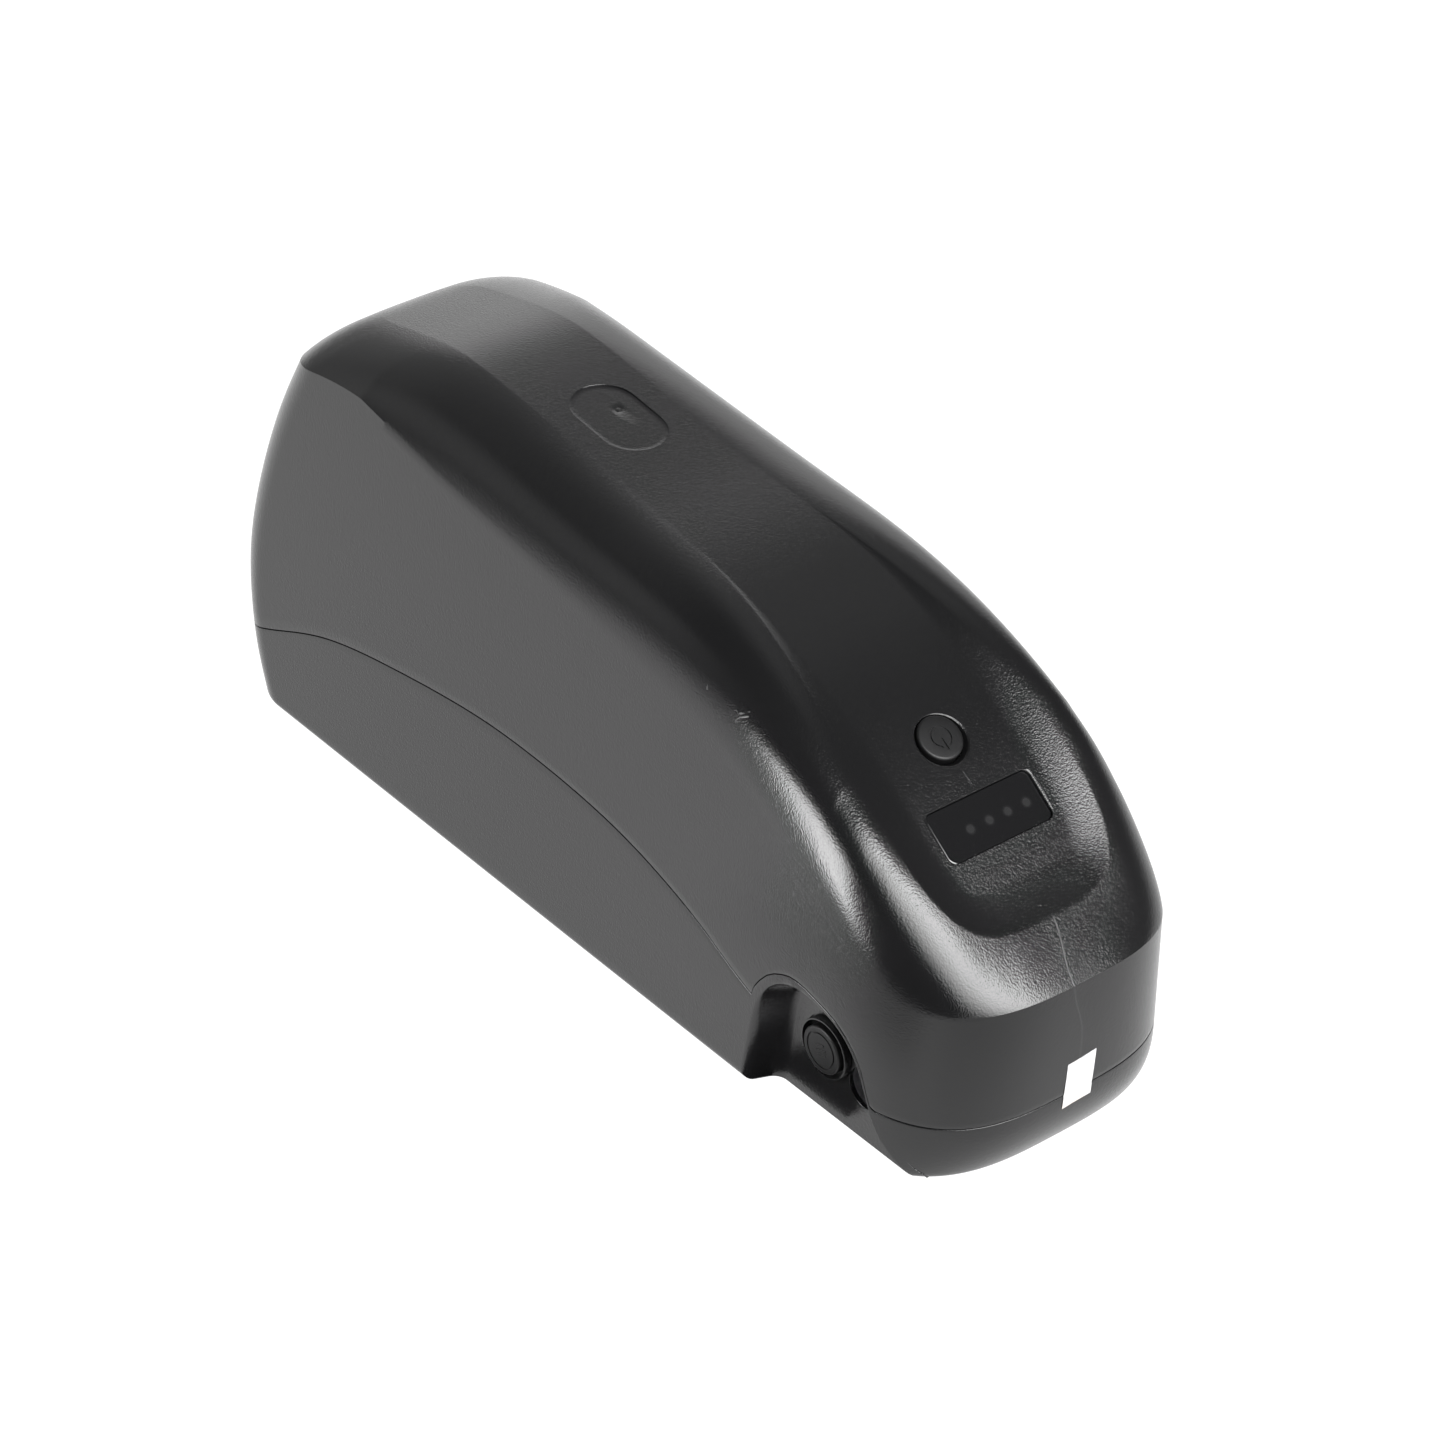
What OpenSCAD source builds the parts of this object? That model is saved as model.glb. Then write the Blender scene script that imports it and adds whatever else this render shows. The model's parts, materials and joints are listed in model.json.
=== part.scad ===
// Rechargeable battery for an e-bike: a two-part moulded case round forty
// cylindrical cells, with a sunken tongue that holds the power button and the
// charge window, and a side notch with the charging port and the lock socket.
// Base on z = 0, nose towards +X, notch on the -Y side, origin at the bottom centre.

/* [Case] */
// Room from the back wall to the cells
back_room = 20.8; // [19.5:0.1:24]
// Room from the cells to the nose
nose_room = 82; // [78:0.5:90]
// Room beside the cells on each side, at the feet of the walls
side_room = 12.5; // [12.2:0.1:15]
// Room between the base and the cells
foot_room = 5.6; // [5.2:0.1:7]
// Room from the cells to the top of the hump
head_room = 42.4; // [41:0.2:50]
// Wall of both shells
wall = 2.5; // [2:0.1:2.6]
// Radius of the back corners, seen from above
back_r = 14; // [10:0.5:15]
// Depth of the sunken tongue at its tip
tongue_depth = 1.9; // [1.2:0.1:4]
// Height of the parting line round the nose
nose_seam = 17.7; // [17:0.1:20]
// Open line between the two shells
seam_gap = 0.2; // [0.1:0.05:0.4]
// Height of the rubber seal in the joint
seal_h = 0.7; // [0.5:0.05:0.8]

/* [Power button] */
// Place of the button along the case, as a share of half its length
button_place_share = 0.639; // [0.63:0.001:0.655]
// Diameter of the button
button_d = 12; // [10:0.1:13]
// Gap all round the button
button_gap = 0.4; // [0.3:0.05:0.6]
// How far the button can be pressed
button_travel = 0.7; // [0.5:0.05:0.9]

/* [Charge window] */
// Place of the window along the case, as a share of half its length
window_place_share = 0.763; // [0.757:0.001:0.775]
// Size of the window across the case
window_w = 32; // [28:0.5:34]
// Size of the window along the slope
window_l = 13.4; // [11:0.1:14]
// How deep the lens lies below the tongue
lens_depth = 0.7; // [0.4:0.05:1]
// Thickness of the lens
lens_t = 2; // [1.6:0.1:2.4]
// Distance between the lamps of the charge display
lamp_pitch = 5.85; // [5:0.05:7]
// How far the row of lamps lies beside the middle of the window
lamp_side = 2.6; // [0:0.1:3]

/* [Notch] */
// How deep the notch is sunk into the side wall, measured from its foot
notch_depth = 8.4; // [7.6:0.1:9.4]
// Place of the charging port along the case, as a share of half its length
port_place_share = 0.677; // [0.673:0.001:0.68]
// Height of the charging port, as a share of the case height
port_height_share = 0.161; // [0.158:0.001:0.166]
// Diameter of the charging cap
cap_d = 13; // [12:0.1:13.4]
// Height of the cap face over the notch floor
cap_t = 2.8; // [2:0.1:3]
// Distance of the lock socket from the charging port, along the case
lock_away = 13.2; // [13.1:0.1:14]
// How much lower than the port the lock socket lies
lock_lower = 4.8; // [4:0.1:5.6]
// Bore of the lock socket
lock_d = 11.4; // [10:0.1:11.6]
// Depth of the lock socket
lock_l = 16; // [12:0.5:18]

/* [Cells] */
// Diameter of a cell
cell_d = 18.4; // [18.2:0.05:18.6]
// Length of a cell
cell_l = 65; // [64:0.1:65.2]
// Distance between neighbouring cells
cell_pitch = 19.2; // [19:0.05:19.3]
// Cell groups in series
cell_cols = 10; // [8:1:10]
// Cells side by side in one group
cell_rows = 4; // [3:1:4]
// Depth of the pockets that grip the cell ends
grip = 8; // [6:0.5:10]
// Thickness of the holder's face over the cell ends
holder_t = 1.2; // [1:0.1:1.4]

/* [Battery management board] */
// Length of the board
board_l = 92; // [80:1:96]
// Width of the board
board_w = 54; // [46:1:56]
// Thickness of all circuit boards
board_t = 1.6; // [1.2:0.1:1.8]
// Height of the board over the cell holders
board_lift = 5; // [4:0.1:6]

/* [Discharge connector] */
// Length of the connector housing
plug_l = 34; // [30:0.5:36]
// Width of the connector housing
plug_w = 22; // [20:0.5:23]
// Height of the connector housing
plug_h = 14; // [12:0.5:15]

/* [Fasteners] */
// Shank diameter of the case screws
screw_d = 3; // [2.5:0.1:3]
// Head diameter of the case screws
screw_head_d = 5.5; // [5:0.1:5.6]
// Length of the case screws under the head
screw_l = 24; // [20:0.5:26]
// Diameter of the screw bosses
boss_d = 7; // [6.6:0.1:7.4]
// Height of the lower bosses
boss_h = 20.7; // [19:0.1:21]

/* [Seal label] */
// Width of the blank seal label on the nose
label_w = 9; // [7:0.5:12]
// Height of the label
label_h = 14; // [12:0.5:16]
// Thickness of the label
label_t = 0.2; // [0.1:0.05:0.3]

/* [Leads] */
// Diameter of the power leads
power_lead_d = 4.2; // [3.6:0.1:4.6]
// Diameter of the charging lead
charge_lead_d = 3.2; // [2.6:0.1:3.6]
// Diameter of the signal leads
signal_lead_d = 2.4; // [2:0.1:2.6]
// Diameter of the balance lead beside the cells
balance_lead_d = 1.8; // [1.2:0.1:1.9]

/* [Hidden] */

// Overrun of a cut past the face it opens
over = 1;
// Clearance between a piece and the seat it is glued or laid into
fit = 0.1;
// Clearance where a piece must not touch its neighbour
clear = 0.3;
// Border of the holders round the outermost cells
holder_rim = 0.6;
block_l = cell_cols * cell_pitch + 2 * holder_rim;
block_h = cell_rows * cell_pitch + 2 * 2 / 3 * holder_rim;
body_l = back_room + block_l + nose_room;
body_w = cell_l + 2 * side_room;
body_h = foot_room + block_h + head_room;
half_l = body_l / 2;
half_w = body_w / 2;
button_x = button_place_share * half_l;
window_x = window_place_share * half_l;
notch_y = half_w - notch_depth;
port_x = port_place_share * half_l;
port_z = port_height_share * body_h;
lock_x = port_x + lock_away;
lock_z = port_z - lock_lower;
plug_share = 0.7027;
plug_side_share = 0.067;
plug_x = plug_share * half_l;
plug_y = plug_side_share * half_w;

// Colours of the finishes
black_plastic = [0.10, 0.10, 0.105];
dark_rubber = [0.06, 0.06, 0.065];
smoke_glass = [0.03, 0.03, 0.035];
board_green = [0.05, 0.30, 0.14];
cell_wrap = [0.10, 0.32, 0.55];
nickel = [0.75, 0.75, 0.72];
steel = [0.62, 0.63, 0.65];
brass = [0.80, 0.64, 0.30];

// Case outlines as hand-chosen shares: first value of half the length, second of the height
top_share = [[-0.886, 0.80], [-0.84, 0.870], [-0.79, 0.926], [-0.716, 0.954], [-0.615, 0.979],
    [-0.50, 1.0], [-0.37, 0.995], [-0.23, 0.975], [0.04, 0.936], [0.31, 0.893],
    [0.51, 0.809], [0.68, 0.695], [0.82, 0.575], [0.92, 0.475], [1.0, 0.39]];
crease_share = [[-1.0, 0.78], [-0.838, 0.861], [-0.74, 0.892], [-0.66, 0.905], [-0.59, 0.908],
    [-0.50, 0.888], [-0.36, 0.856], [-0.23, 0.834], [0.04, 0.795], [0.31, 0.735],
    [0.515, 0.643], [0.72, 0.503], [0.81, 0.441], [0.87, 0.413], [0.93, 0.405],
    [1.0, 0.41]];
// Back wall: first value of the height, second of half the length
back_share = [[0, 0.945], [0.095, 0.976], [0.19, 0.993], [0.30, 1.0], [0.385, 0.993],
    [0.48, 0.975], [0.637, 0.931], [0.756, 0.886], [0.862, 0.838], [0.93, 0.80]];
// Parting line of the side walls up to the notch
seam_share = [[-1.0, 0.143], [-0.916, 0.169], [-0.804, 0.223], [-0.706, 0.268],
    [-0.608, 0.299], [-0.48, 0.327], [-0.331, 0.353], [-0.189, 0.369], [-0.068, 0.371],
    [0.068, 0.363], [0.189, 0.345], [0.304, 0.313], [0.405, 0.272], [0.486, 0.230],
    [0.534, 0.209]];
// Mouth of the notch, from its back foot over the arch to the nose
arch_share = [[0.531, 0], [0.542, 0.112], [0.549, 0.195], [0.565, 0.239], [0.591, 0.273],
    [0.625, 0.294], [0.662, 0.2986], [0.703, 0.293], [0.740, 0.277], [0.769, 0.2524],
    [0.792, 0.2166], [0.8095, 0.171], [0.822, 0.1345], [0.842, 0.090], [0.865, 0.0565],
    [0.8865, 0.027], [0.905, 0]];
// Half width of the flat strip and tongue: of half the length, then of half the width
strip_share = [[-0.80, 0.33], [-0.57, 0.336], [-0.43, 0.351], [-0.09, 0.347], [0.18, 0.38],
    [0.45, 0.50], [0.65, 0.603], [0.75, 0.625]];

// Side walls lean inwards as they rise, and the case narrows towards the back
lean_share = 0.052;
taper = 2.2;
taper_from_share = 0.7263;
taper_from = taper_from_share * half_l;
taper_power = 1.3;
// Nose: where its rounding starts, its form, its lean and its rounded foot
nose_from_share = 0.6689;
nose_from = nose_from_share * half_l;
nose_power = 3.13;
nose_lean = 2;
foot_l = 4.8;
foot_h = 16.3;
foot_power = 2.3;
foot_edge = 2;
foot_edge_share = 0.3;
// Tongue and strip
tongue_back_share = -0.7905;
tongue_back = tongue_back_share * half_l;
tongue_back_l = 14;
tongue_from_share = 0.6514;
tongue_from = tongue_from_share * half_l;
tongue_tip_share = 0.913;
tongue_tip = tongue_tip_share * half_l;
tongue_power = 3.8;
dip_share = [0.169, 0.777];
dip_from = dip_share[0] * half_l;
dip_to = dip_share[1] * half_l;
tongue_edge = 1.6;
// Shoulder bulge as shares of its run and rise, at the back, side, front and nose
bulge_run_share = [0.42, 0.27, 0.02, 0.13];
bulge_rise_share = [0.76, 0.84, 1.13, 0.38];
// Lip of the lower shell round the notch: widest at its top, thin towards the nose
lip_w = [2.2, 2.3, 2.4, 1.9, 1.5, 1.2, 1.2, 1.2, 1.2];
lip_first = 3;
lip_end_share = 0.8277;
lip_end_x = lip_end_share * half_l;

// Columns of the skin as shares: back wall, then side wall, then nose
back_cols = 2;
corner_cols = 3;
side_share = [-0.72, -0.60, -0.46, -0.30, -0.14, 0.02, 0.18, 0.32, 0.42, 0.49, 0.534];
nose_col_share = [0.58, 0.66, 0.74, 0.81, 0.87, 0.92, 0.96, 0.985, 0.997, 1];

function lerp(a, b, t) = a + (b - a) * t;
function clip(v) = min(max(v, 0), 1);
function seg(t, x, i = 0) = (i >= len(t) - 2 || x <= t[i + 1][0]) ? i : seg(t, x, i + 1);
function rise(t, i) = (t[i + 1][1] - t[i][1]) / (t[i + 1][0] - t[i][0]);
function knot_rise(t, i) = i == 0 ? rise(t, 0) : i == len(t) - 1 ? rise(t, i - 1)
    : let (a = t[i][0] - t[i - 1][0], b = t[i + 1][0] - t[i][0])
        (rise(t, i - 1) * b + rise(t, i) * a) / (a + b);
// Smooth curve through a table of shares
function at(t, x) = let (i = seg(t, x), h = t[i + 1][0] - t[i][0], u = (x - t[i][0]) / h,
        a = knot_rise(t, i) * h, b = knot_rise(t, i + 1) * h)
    (2 * u ^ 3 - 3 * u ^ 2 + 1) * t[i][1] + (u ^ 3 - 2 * u ^ 2 + u) * a
    + (3 * u ^ 2 - 2 * u ^ 3) * t[i + 1][1] + (u ^ 3 - u ^ 2) * b;

function top_z(x) = body_h * at(top_share, x / half_l);
function top_tilt(x) = atan((top_z(x - over) - top_z(x + over)) / (2 * over));
function crease_z(x) = body_h * at(crease_share, x / half_l);
function back_x(z) = -half_l * at(back_share, z / body_h);
function strip_w(x) = half_w * at(strip_share, x / half_l);
function side_y(x, z) = half_w - lean_share * z
    - taper * clip((taper_from - x) / (taper_from + half_l)) ^ taper_power;
function nose_x(z) = half_l - nose_lean * clip(1 - z / crease_z(half_l))
    - foot_l * clip(1 - z / foot_h) ^ foot_power;
function dip(x) = let (u = clip((x - dip_from) / (dip_to - dip_from)))
    tongue_depth * u * u * (3 - 2 * u);

// Notch mouth and the lip round it, as points in the side view
arch = [for (p = arch_share) [p[0] * half_l, p[1] * body_h]];
function edge_normal(pts, i) = let (a = pts[max(i - 1, 0)], b = pts[min(i + 1, len(pts) - 1)],
        d = b - a) [-d[1], d[0]] / norm(d);
function grown(pts, d) = [for (i = [0:len(pts) - 1]) pts[i] + edge_normal(pts, i) * d];
lip = [for (i = [0:len(lip_w) - 1])
    arch[lip_first + i] + edge_normal(arch, lip_first + i) * lip_w[i]];

// Parting line of each side
seam_near = concat([for (p = seam_share) [p[0] * half_l, p[1] * body_h]], lip,
    [[lip_end_x, nose_seam], [half_l, nose_seam]]);
seam_far = concat([for (p = seam_share) [p[0] * half_l, p[1] * body_h]],
    [[lerp(seam_share[14][0] * half_l, lip_end_x, 0.25), lerp(nose_seam, seam_share[14][1] * body_h, 0.55)],
    [lerp(seam_share[14][0] * half_l, lip_end_x, 0.58), lerp(nose_seam, seam_share[14][1] * body_h, 0.18)],
    [lip_end_x, nose_seam], [half_l, nose_seam]]);
function line_at(t, x) = let (i = seg(t, x)) lerp(t[i][1], t[i + 1][1],
    clip((x - t[i][0]) / (t[i + 1][0] - t[i][0])));
function seam_z(x, far) = x < seam_share[14][0] * half_l ? at(seam_near, x)
    : far ? line_at(seam_far, x) : line_at(seam_near, x);

// Columns of the skin, counted from the middle of the back to the tip of the nose
first_side = back_cols + corner_cols + 1;
col_x = concat([for (s = side_share) s * half_l], [for (p = lip) p[0]], [lip_end_x],
    [for (s = nose_col_share) lerp(nose_from, half_l, s)]);
cols = first_side + len(col_x);
loop_n = 2 * (cols - 1);
function nose_s(x) = clip((x - nose_from) / (half_l - nose_from));

// Point of one column at height z, moved inwards by e
function skin_pt(j, z, e) = j <= back_cols
    ? let (x = back_x(z)) [x + e, -(side_y(x, z) - back_r) * j / back_cols, z]
    : j < first_side
    ? let (x = back_x(z), a = 90 * (j - back_cols) / corner_cols)
        [x + back_r - (back_r - e) * cos(a), -(side_y(x, z) - back_r) - (back_r - e) * sin(a), z]
    : let (s = nose_s(col_x[j - first_side]))
        s <= 0 ? [col_x[j - first_side], -(side_y(col_x[j - first_side], z) - e), z]
        : let (x = lerp(nose_from, nose_x(z) - e, s))
            [x, -(side_y(x, z) - e) * (1 - s ^ nose_power) ^ (1 / nose_power), z];
function crease_pt(j, e) = let (x = skin_pt(j, crease_z(-0.838 * half_l), 0)[0],
        z = crease_z(max(x, -0.838 * half_l)))
    skin_pt(j, z - 0.35 * e, e);
// Edge of the strip and tongue for each column
function strip_pt(j, e) = j < first_side
    ? let (a = 90 * j / first_side, x = tongue_back + e / 2 + tongue_back_l * (1 - cos(a)))
        [x, -strip_w(tongue_back + tongue_back_l) * sin(a), top_z(x) + (e > 0 ? -1.05 * e : dip(x))]
    : let (x0 = crease_pt(first_side - 1, 0)[0], cx = col_x[j - first_side], s = nose_s(cx),
        t = clip((cx - x0) / (nose_from - x0)),
        x = s <= 0 ? lerp(tongue_back + tongue_back_l, tongue_from, t)
            : lerp(tongue_from, tongue_tip - e / 2, s ^ (nose_power / tongue_power)),
        y = s <= 0 ? strip_w(x) : strip_w(tongue_from) * (1 - s ^ nose_power) ^ (1 / tongue_power))
        [x, -y, top_z(x) + (e > 0 ? -1.05 * e : dip(x))];
// Shares of the shoulder's bulge for each column
function bulge(j, table) = j <= back_cols ? table[0]
    : j < first_side ? lerp(table[0], table[1], (j - back_cols) / (first_side - back_cols))
    : let (cx = col_x[j - first_side], s = nose_s(cx))
        s <= 0 ? lerp(table[1], table[2], clip((cx / half_l + 0.72) / 1.39))
        : lerp(table[2], table[3], clip(s / 0.9));
// Point of the shoulder at share v of the way from the crease to the strip
function shoulder_pt(j, v, e) = let (p = crease_pt(j, e), q = strip_pt(j, e), d = q - p,
        c = p + [d[0] * bulge(j, bulge_run_share), d[1] * bulge(j, bulge_run_share),
            d[2] * bulge(j, bulge_rise_share)])
    (1 - v) ^ 2 * p + 2 * v * (1 - v) * c + v ^ 2 * q;
// Foot of the tongue's edge, a little inside it and down on the floor
function floor_pt(j) = let (q = strip_pt(j, 0), m = [tongue_from, 0, 0] - q,
        k = min(tongue_edge * dip(q[0]) / tongue_depth / max(norm([m[0] * (q[0] > tongue_from ? 1 : 0),
            m[1]]), tongue_edge), 1),
        x = q[0] + m[0] * (q[0] > tongue_from ? k : 0), y = q[1] + m[1] * k)
    [x, y, top_z(x)];
function wall_pt(j, far, f, e) = let (p = crease_pt(j, e),
        z0 = seam_z(skin_pt(j, nose_seam, 0)[0], far)) skin_pt(j, lerp(z0, p[2], f), e);
function rim_pt(j, far, drop, e) = let (z0 = seam_z(skin_pt(j, nose_seam, 0)[0], far))
    skin_pt(j, z0 - drop, e);
function base_pt(j, far, f, e, z_low) = let (z0 = seam_z(skin_pt(j, nose_seam, 0)[0], far))
    skin_pt(j, lerp(z_low, z0 - seam_gap, f), e);

// One closed ring: near side by column, then the far side mirrored back
function mirrored(p) = [p[0], -p[1], p[2]];
function wall_ring(f, e) = [for (i = [0:loop_n - 1]) i < cols ? wall_pt(i, false, f, e)
    : mirrored(wall_pt(loop_n - i, true, f, e))];
function base_ring(f, e, z_low) = [for (i = [0:loop_n - 1]) i < cols ? base_pt(i, false, f, e, z_low)
    : mirrored(base_pt(loop_n - i, true, f, e, z_low))];
function rim_ring(drop, e) = [for (i = [0:loop_n - 1]) i < cols ? rim_pt(i, false, drop, e)
    : mirrored(rim_pt(loop_n - i, true, drop, e))];
function shoulder_ring(v, e) = [for (i = [0:loop_n - 1]) i < cols ? shoulder_pt(i, v, e)
    : mirrored(shoulder_pt(loop_n - i, v, e))];
function floor_ring() = [for (i = [0:loop_n - 1]) i < cols ? floor_pt(i) : mirrored(floor_pt(loop_n - i))];
function flat(lists) = [for (a = lists) for (b = a) b];

// Faces between neighbouring rings, and the strips that close the first and last ring
function tube_faces(rings, n) = [for (k = [0:rings - 2]) for (i = [0:n - 1])
    let (a = k * n + i, b = k * n + (i + 1) % n) each [[a, a + n, b + n], [a, b + n, b]]];
function cap_faces(k) = [for (j = [0:cols - 2]) let (o = k * loop_n, l = o + j, m = o + j + 1,
        r = o + (loop_n - j) % loop_n, q = o + (loop_n - j - 1) % loop_n)
    each concat(r != l ? [[l, r, q]] : [], q != m ? [[l, q, m]] : [])];
function turned(faces) = [for (f = faces) [f[2], f[1], f[0]]];

module skin(rings) {
    polyhedron(points = flat(rings), faces = concat(tube_faces(len(rings), loop_n),
        turned(cap_faces(0)), cap_faces(len(rings) - 1)), convexity = 8);
}

// Frame on the tongue floor: z stands square on the floor, y across the case
module on_tongue(x) {
    translate([x, 0, top_z(x)]) rotate([0, top_tilt(x), 0]) children();
}

module rounded_block(l, w, h, r) {
    linear_extrude(height = h) union() {
        square([l - 2 * r, w], center = true);
        square([l, w - 2 * r], center = true);
        for (sx = [-1, 1], sy = [-1, 1]) translate([sx * (l / 2 - r), sy * (w / 2 - r)])
            circle(r = r, $fn = 24);
    }
}

// Straight piece along +Y from y0 to y1 at a place of the side view
module along_y(x, z, d, y0, y1) {
    translate([x, y1, z]) rotate([90, 0, 0]) cylinder(d = d, h = y1 - y0, $fn = 48);
}

module side_prism(pts, y0, y1) {
    translate([0, y1, 0]) rotate([90, 0, 0]) linear_extrude(height = y1 - y0) polygon(pts);
}

// Case screws: place along the case, sideways place, and top of the upper boss, as shares
screw_share = [[-0.8932, 0.489, 0.685], [0.4831, 0.822, 0.557], [0.892, 0.444, 0.4825]];
screw_places = [for (s = screw_share) [s[0] * half_l, s[1] * half_w, s[2] * body_h]];
well_h = 8;
head_h = 2.4;
drive_d = 2.4;
drive_h = 1.4;
boss_extra = 1.2;
module at_screws() {
    for (p = screw_places, s = [-1, 1]) translate([p[0], s * p[1], 0]) children();
}

// Shallow blank recess on the hump
emblem_share = -0.1885;
emblem_x = emblem_share * half_l;
emblem_l = 29;
emblem_w = 18;
emblem_depth = 0.4;
button_hole_d = button_d + 2 * button_gap;
window_r = 2;
label_side_share = 0.029;
label_y = label_side_share * half_w;

module upper_shell() {
    color(black_plastic) difference() {
        union() {
            skin([shoulder_ring(1, wall), shoulder_ring(0.7, wall), shoulder_ring(0.35, wall),
                wall_ring(1, wall), wall_ring(0.75, wall), wall_ring(0.5, wall),
                wall_ring(0.25, wall), wall_ring(0, wall), wall_ring(0, 0), wall_ring(0.2, 0),
                wall_ring(0.4, 0), wall_ring(0.6, 0), wall_ring(0.8, 0), wall_ring(1, 0),
                shoulder_ring(0.15, 0), shoulder_ring(0.32, 0), shoulder_ring(0.5, 0),
                shoulder_ring(0.7, 0), shoulder_ring(0.87, 0), shoulder_ring(1, 0), floor_ring()]);
            for (p = screw_places, s = [-1, 1]) translate([p[0], s * p[1], boss_h + clear])
                cylinder(d = boss_d, h = p[2] - boss_h - clear, $fn = 32);
        }
        on_tongue(button_x) translate([0, 0, -4 * wall]) cylinder(d = button_hole_d, h = 8 * wall, $fn = 64);
        on_tongue(window_x) translate([0, 0, -3 * wall])
            rounded_block(window_l + 2 * fit, window_w + 2 * fit, 6 * wall, window_r + fit);
        at_screws() translate([0, 0, boss_h]) cylinder(d = screw_d + fit,
            h = screw_l - boss_h + well_h + 2 * over, $fn = 32);
        on_tongue(emblem_x) translate([0, 0, -emblem_depth])
            rounded_block(emblem_l, emblem_w, 4 * emblem_depth, emblem_w / 2 - fit);
    }
}

// Plan of the case at height z, moved inwards by e, from the side stations to the nose
function plan_near(z, e) = concat([[0.4 * half_l, -0.22 * half_w]], [for (j = [first_side + 7:cols - 1])
    let (p = skin_pt(j, z, e)) [p[0], p[1]]]);

rib_share = [-0.7, -0.39, -0.08, 0.23];
rib_t = 2.5;
rib_l_share = 0.756;
holder_z = foot_room;
socket_d = 11.6;
bushing_d = 13.8;
lock_skin = 1.2;
seat_d = 16;
seat_t = 1;

module notch_walls() {
    outer = grown(arch, wall);
    low = concat([for (p = outer) [p[0], max(p[1], 0)]]);
    union() {
        intersection() {
            side_prism(low, -half_w, -notch_y + wall);
            translate([0, 0, foot_edge / 4]) linear_extrude(height = nose_seam - 2 * clear)
                polygon(plan_near(0, foot_edge + clear));
        }
        intersection() {
            side_prism(low, -half_w, -notch_y + wall);
            translate([0, 0, nose_seam / 2]) linear_extrude(height = body_h)
                polygon(plan_near(3 * wall + nose_seam * 2, wall + clear));
        }
    }
}

module lower_shell() {
    mouth = concat([[arch[0][0], -over]], arch, [[arch[16][0] + over, -over]]);
    color(black_plastic) difference() {
        union() {
            skin([base_ring(0, foot_edge, 0), base_ring(0, foot_edge * foot_edge_share, foot_edge * foot_edge_share),
                base_ring(0, 0, foot_edge), base_ring(0.3, 0, foot_edge), base_ring(0.65, 0, foot_edge),
                base_ring(1, 0, foot_edge), base_ring(1, wall / 2, foot_edge),
                rim_ring(seal_h, wall / 2), rim_ring(seal_h, wall),
                base_ring(0.5, wall, wall), base_ring(0, wall, wall)]);
            notch_walls();
            for (s = rib_share) translate([s * half_l, -rib_l_share * half_w, wall / 2])
                cube([rib_t, 2 * rib_l_share * half_w, holder_z - wall / 2]);
            at_screws() translate([0, 0, wall / 2]) cylinder(d = boss_d + boss_extra,
                h = boss_h - wall / 2, $fn = 32);
            along_y(port_x, port_z, seat_d, -notch_y, -notch_y + wall + seat_t);
        }
        side_prism(mouth, -half_w - over, -notch_y);
        along_y(port_x, port_z, socket_d + 2 * fit, -half_w, -notch_y + 4 * wall);
        along_y(port_x, port_z, cap_d + 2 * clear, -half_w, -notch_y + seat_t);
        along_y(lock_x, lock_z, lock_d, -half_w, -notch_y + 4 * wall);
        along_y(lock_x, lock_z, bushing_d + 2 * fit, -notch_y + lock_skin, -notch_y + 4 * wall);
        translate([plug_x - plug_l / 2 + plug_rim, plug_y - plug_w / 2 + plug_rim, -over])
            cube([plug_l - 2 * plug_rim, plug_w - 2 * plug_rim, wall + 2 * over]);
        at_screws() translate([0, 0, -over]) cylinder(d = screw_d + 2 * clear, h = boss_h + 2 * over, $fn = 32);
        at_screws() translate([0, 0, -over]) cylinder(d = screw_head_d + 2 * clear, h = well_h + over, $fn = 32);
    }
}

module shell_seal() {
    low = seal_h - fit;
    rings = [rim_ring(low, wall / 2 + fit), rim_ring(2 * fit, wall / 2 + fit), rim_ring(2 * fit, wall),
        rim_ring(low, wall)];
    color(dark_rubber) polyhedron(points = flat(rings), faces = concat(tube_faces(4, loop_n),
        [for (i = [0:loop_n - 1]) let (a = 3 * loop_n + i, b = 3 * loop_n + (i + 1) % loop_n)
            each [[a, i, (i + 1) % loop_n], [a, (i + 1) % loop_n, b]]]), convexity = 8);
}

button_h = 5;
flange_d = button_d + 2.4;
flange_t = 1;
flange_gap = 0.05;
stem_d = 3.4;
stem_h = 1.4;
plunger_d = 3;
plunger_h = 1.2;
switch_w = 6.2;
switch_h = 3.6;
guide_t = 1.8;
guide_d = flange_d + 2 * guide_t + 2 * clear;
mark_h = 0.25;
mark_share = [0.46, 0.36, 0.18];

// The button's own parts, counted down from its face
flange_z = -button_h;
stem_z = flange_z - flange_t - stem_h;
plunger_z = stem_z - plunger_h;
switch_top = plunger_z + button_travel * 0.2;

module power_button() {
    color(dark_rubber) on_tongue(button_x) union() {
        translate([0, 0, flange_z]) cylinder(d = button_d, h = button_h, $fn = 64);
        translate([0, 0, flange_z - flange_t]) cylinder(d = flange_d, h = flange_t, $fn = 64);
        translate([0, 0, stem_z]) cylinder(d = stem_d, h = stem_h, $fn = 32);
        difference() {
            cylinder(d = button_d * mark_share[0], h = mark_h, $fn = 48);
            translate([0, 0, -over]) cylinder(d = button_d * mark_share[1], h = 3 * over, $fn = 48);
            translate([0, -button_d * mark_share[2] / 2, -over])
                cube([button_d, button_d * mark_share[2], 3 * over]);
        }
        translate([button_d * 0.04, -button_d * 0.03, 0]) cube([button_d * 0.2, button_d * 0.06, mark_h]);
    }
}

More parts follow.
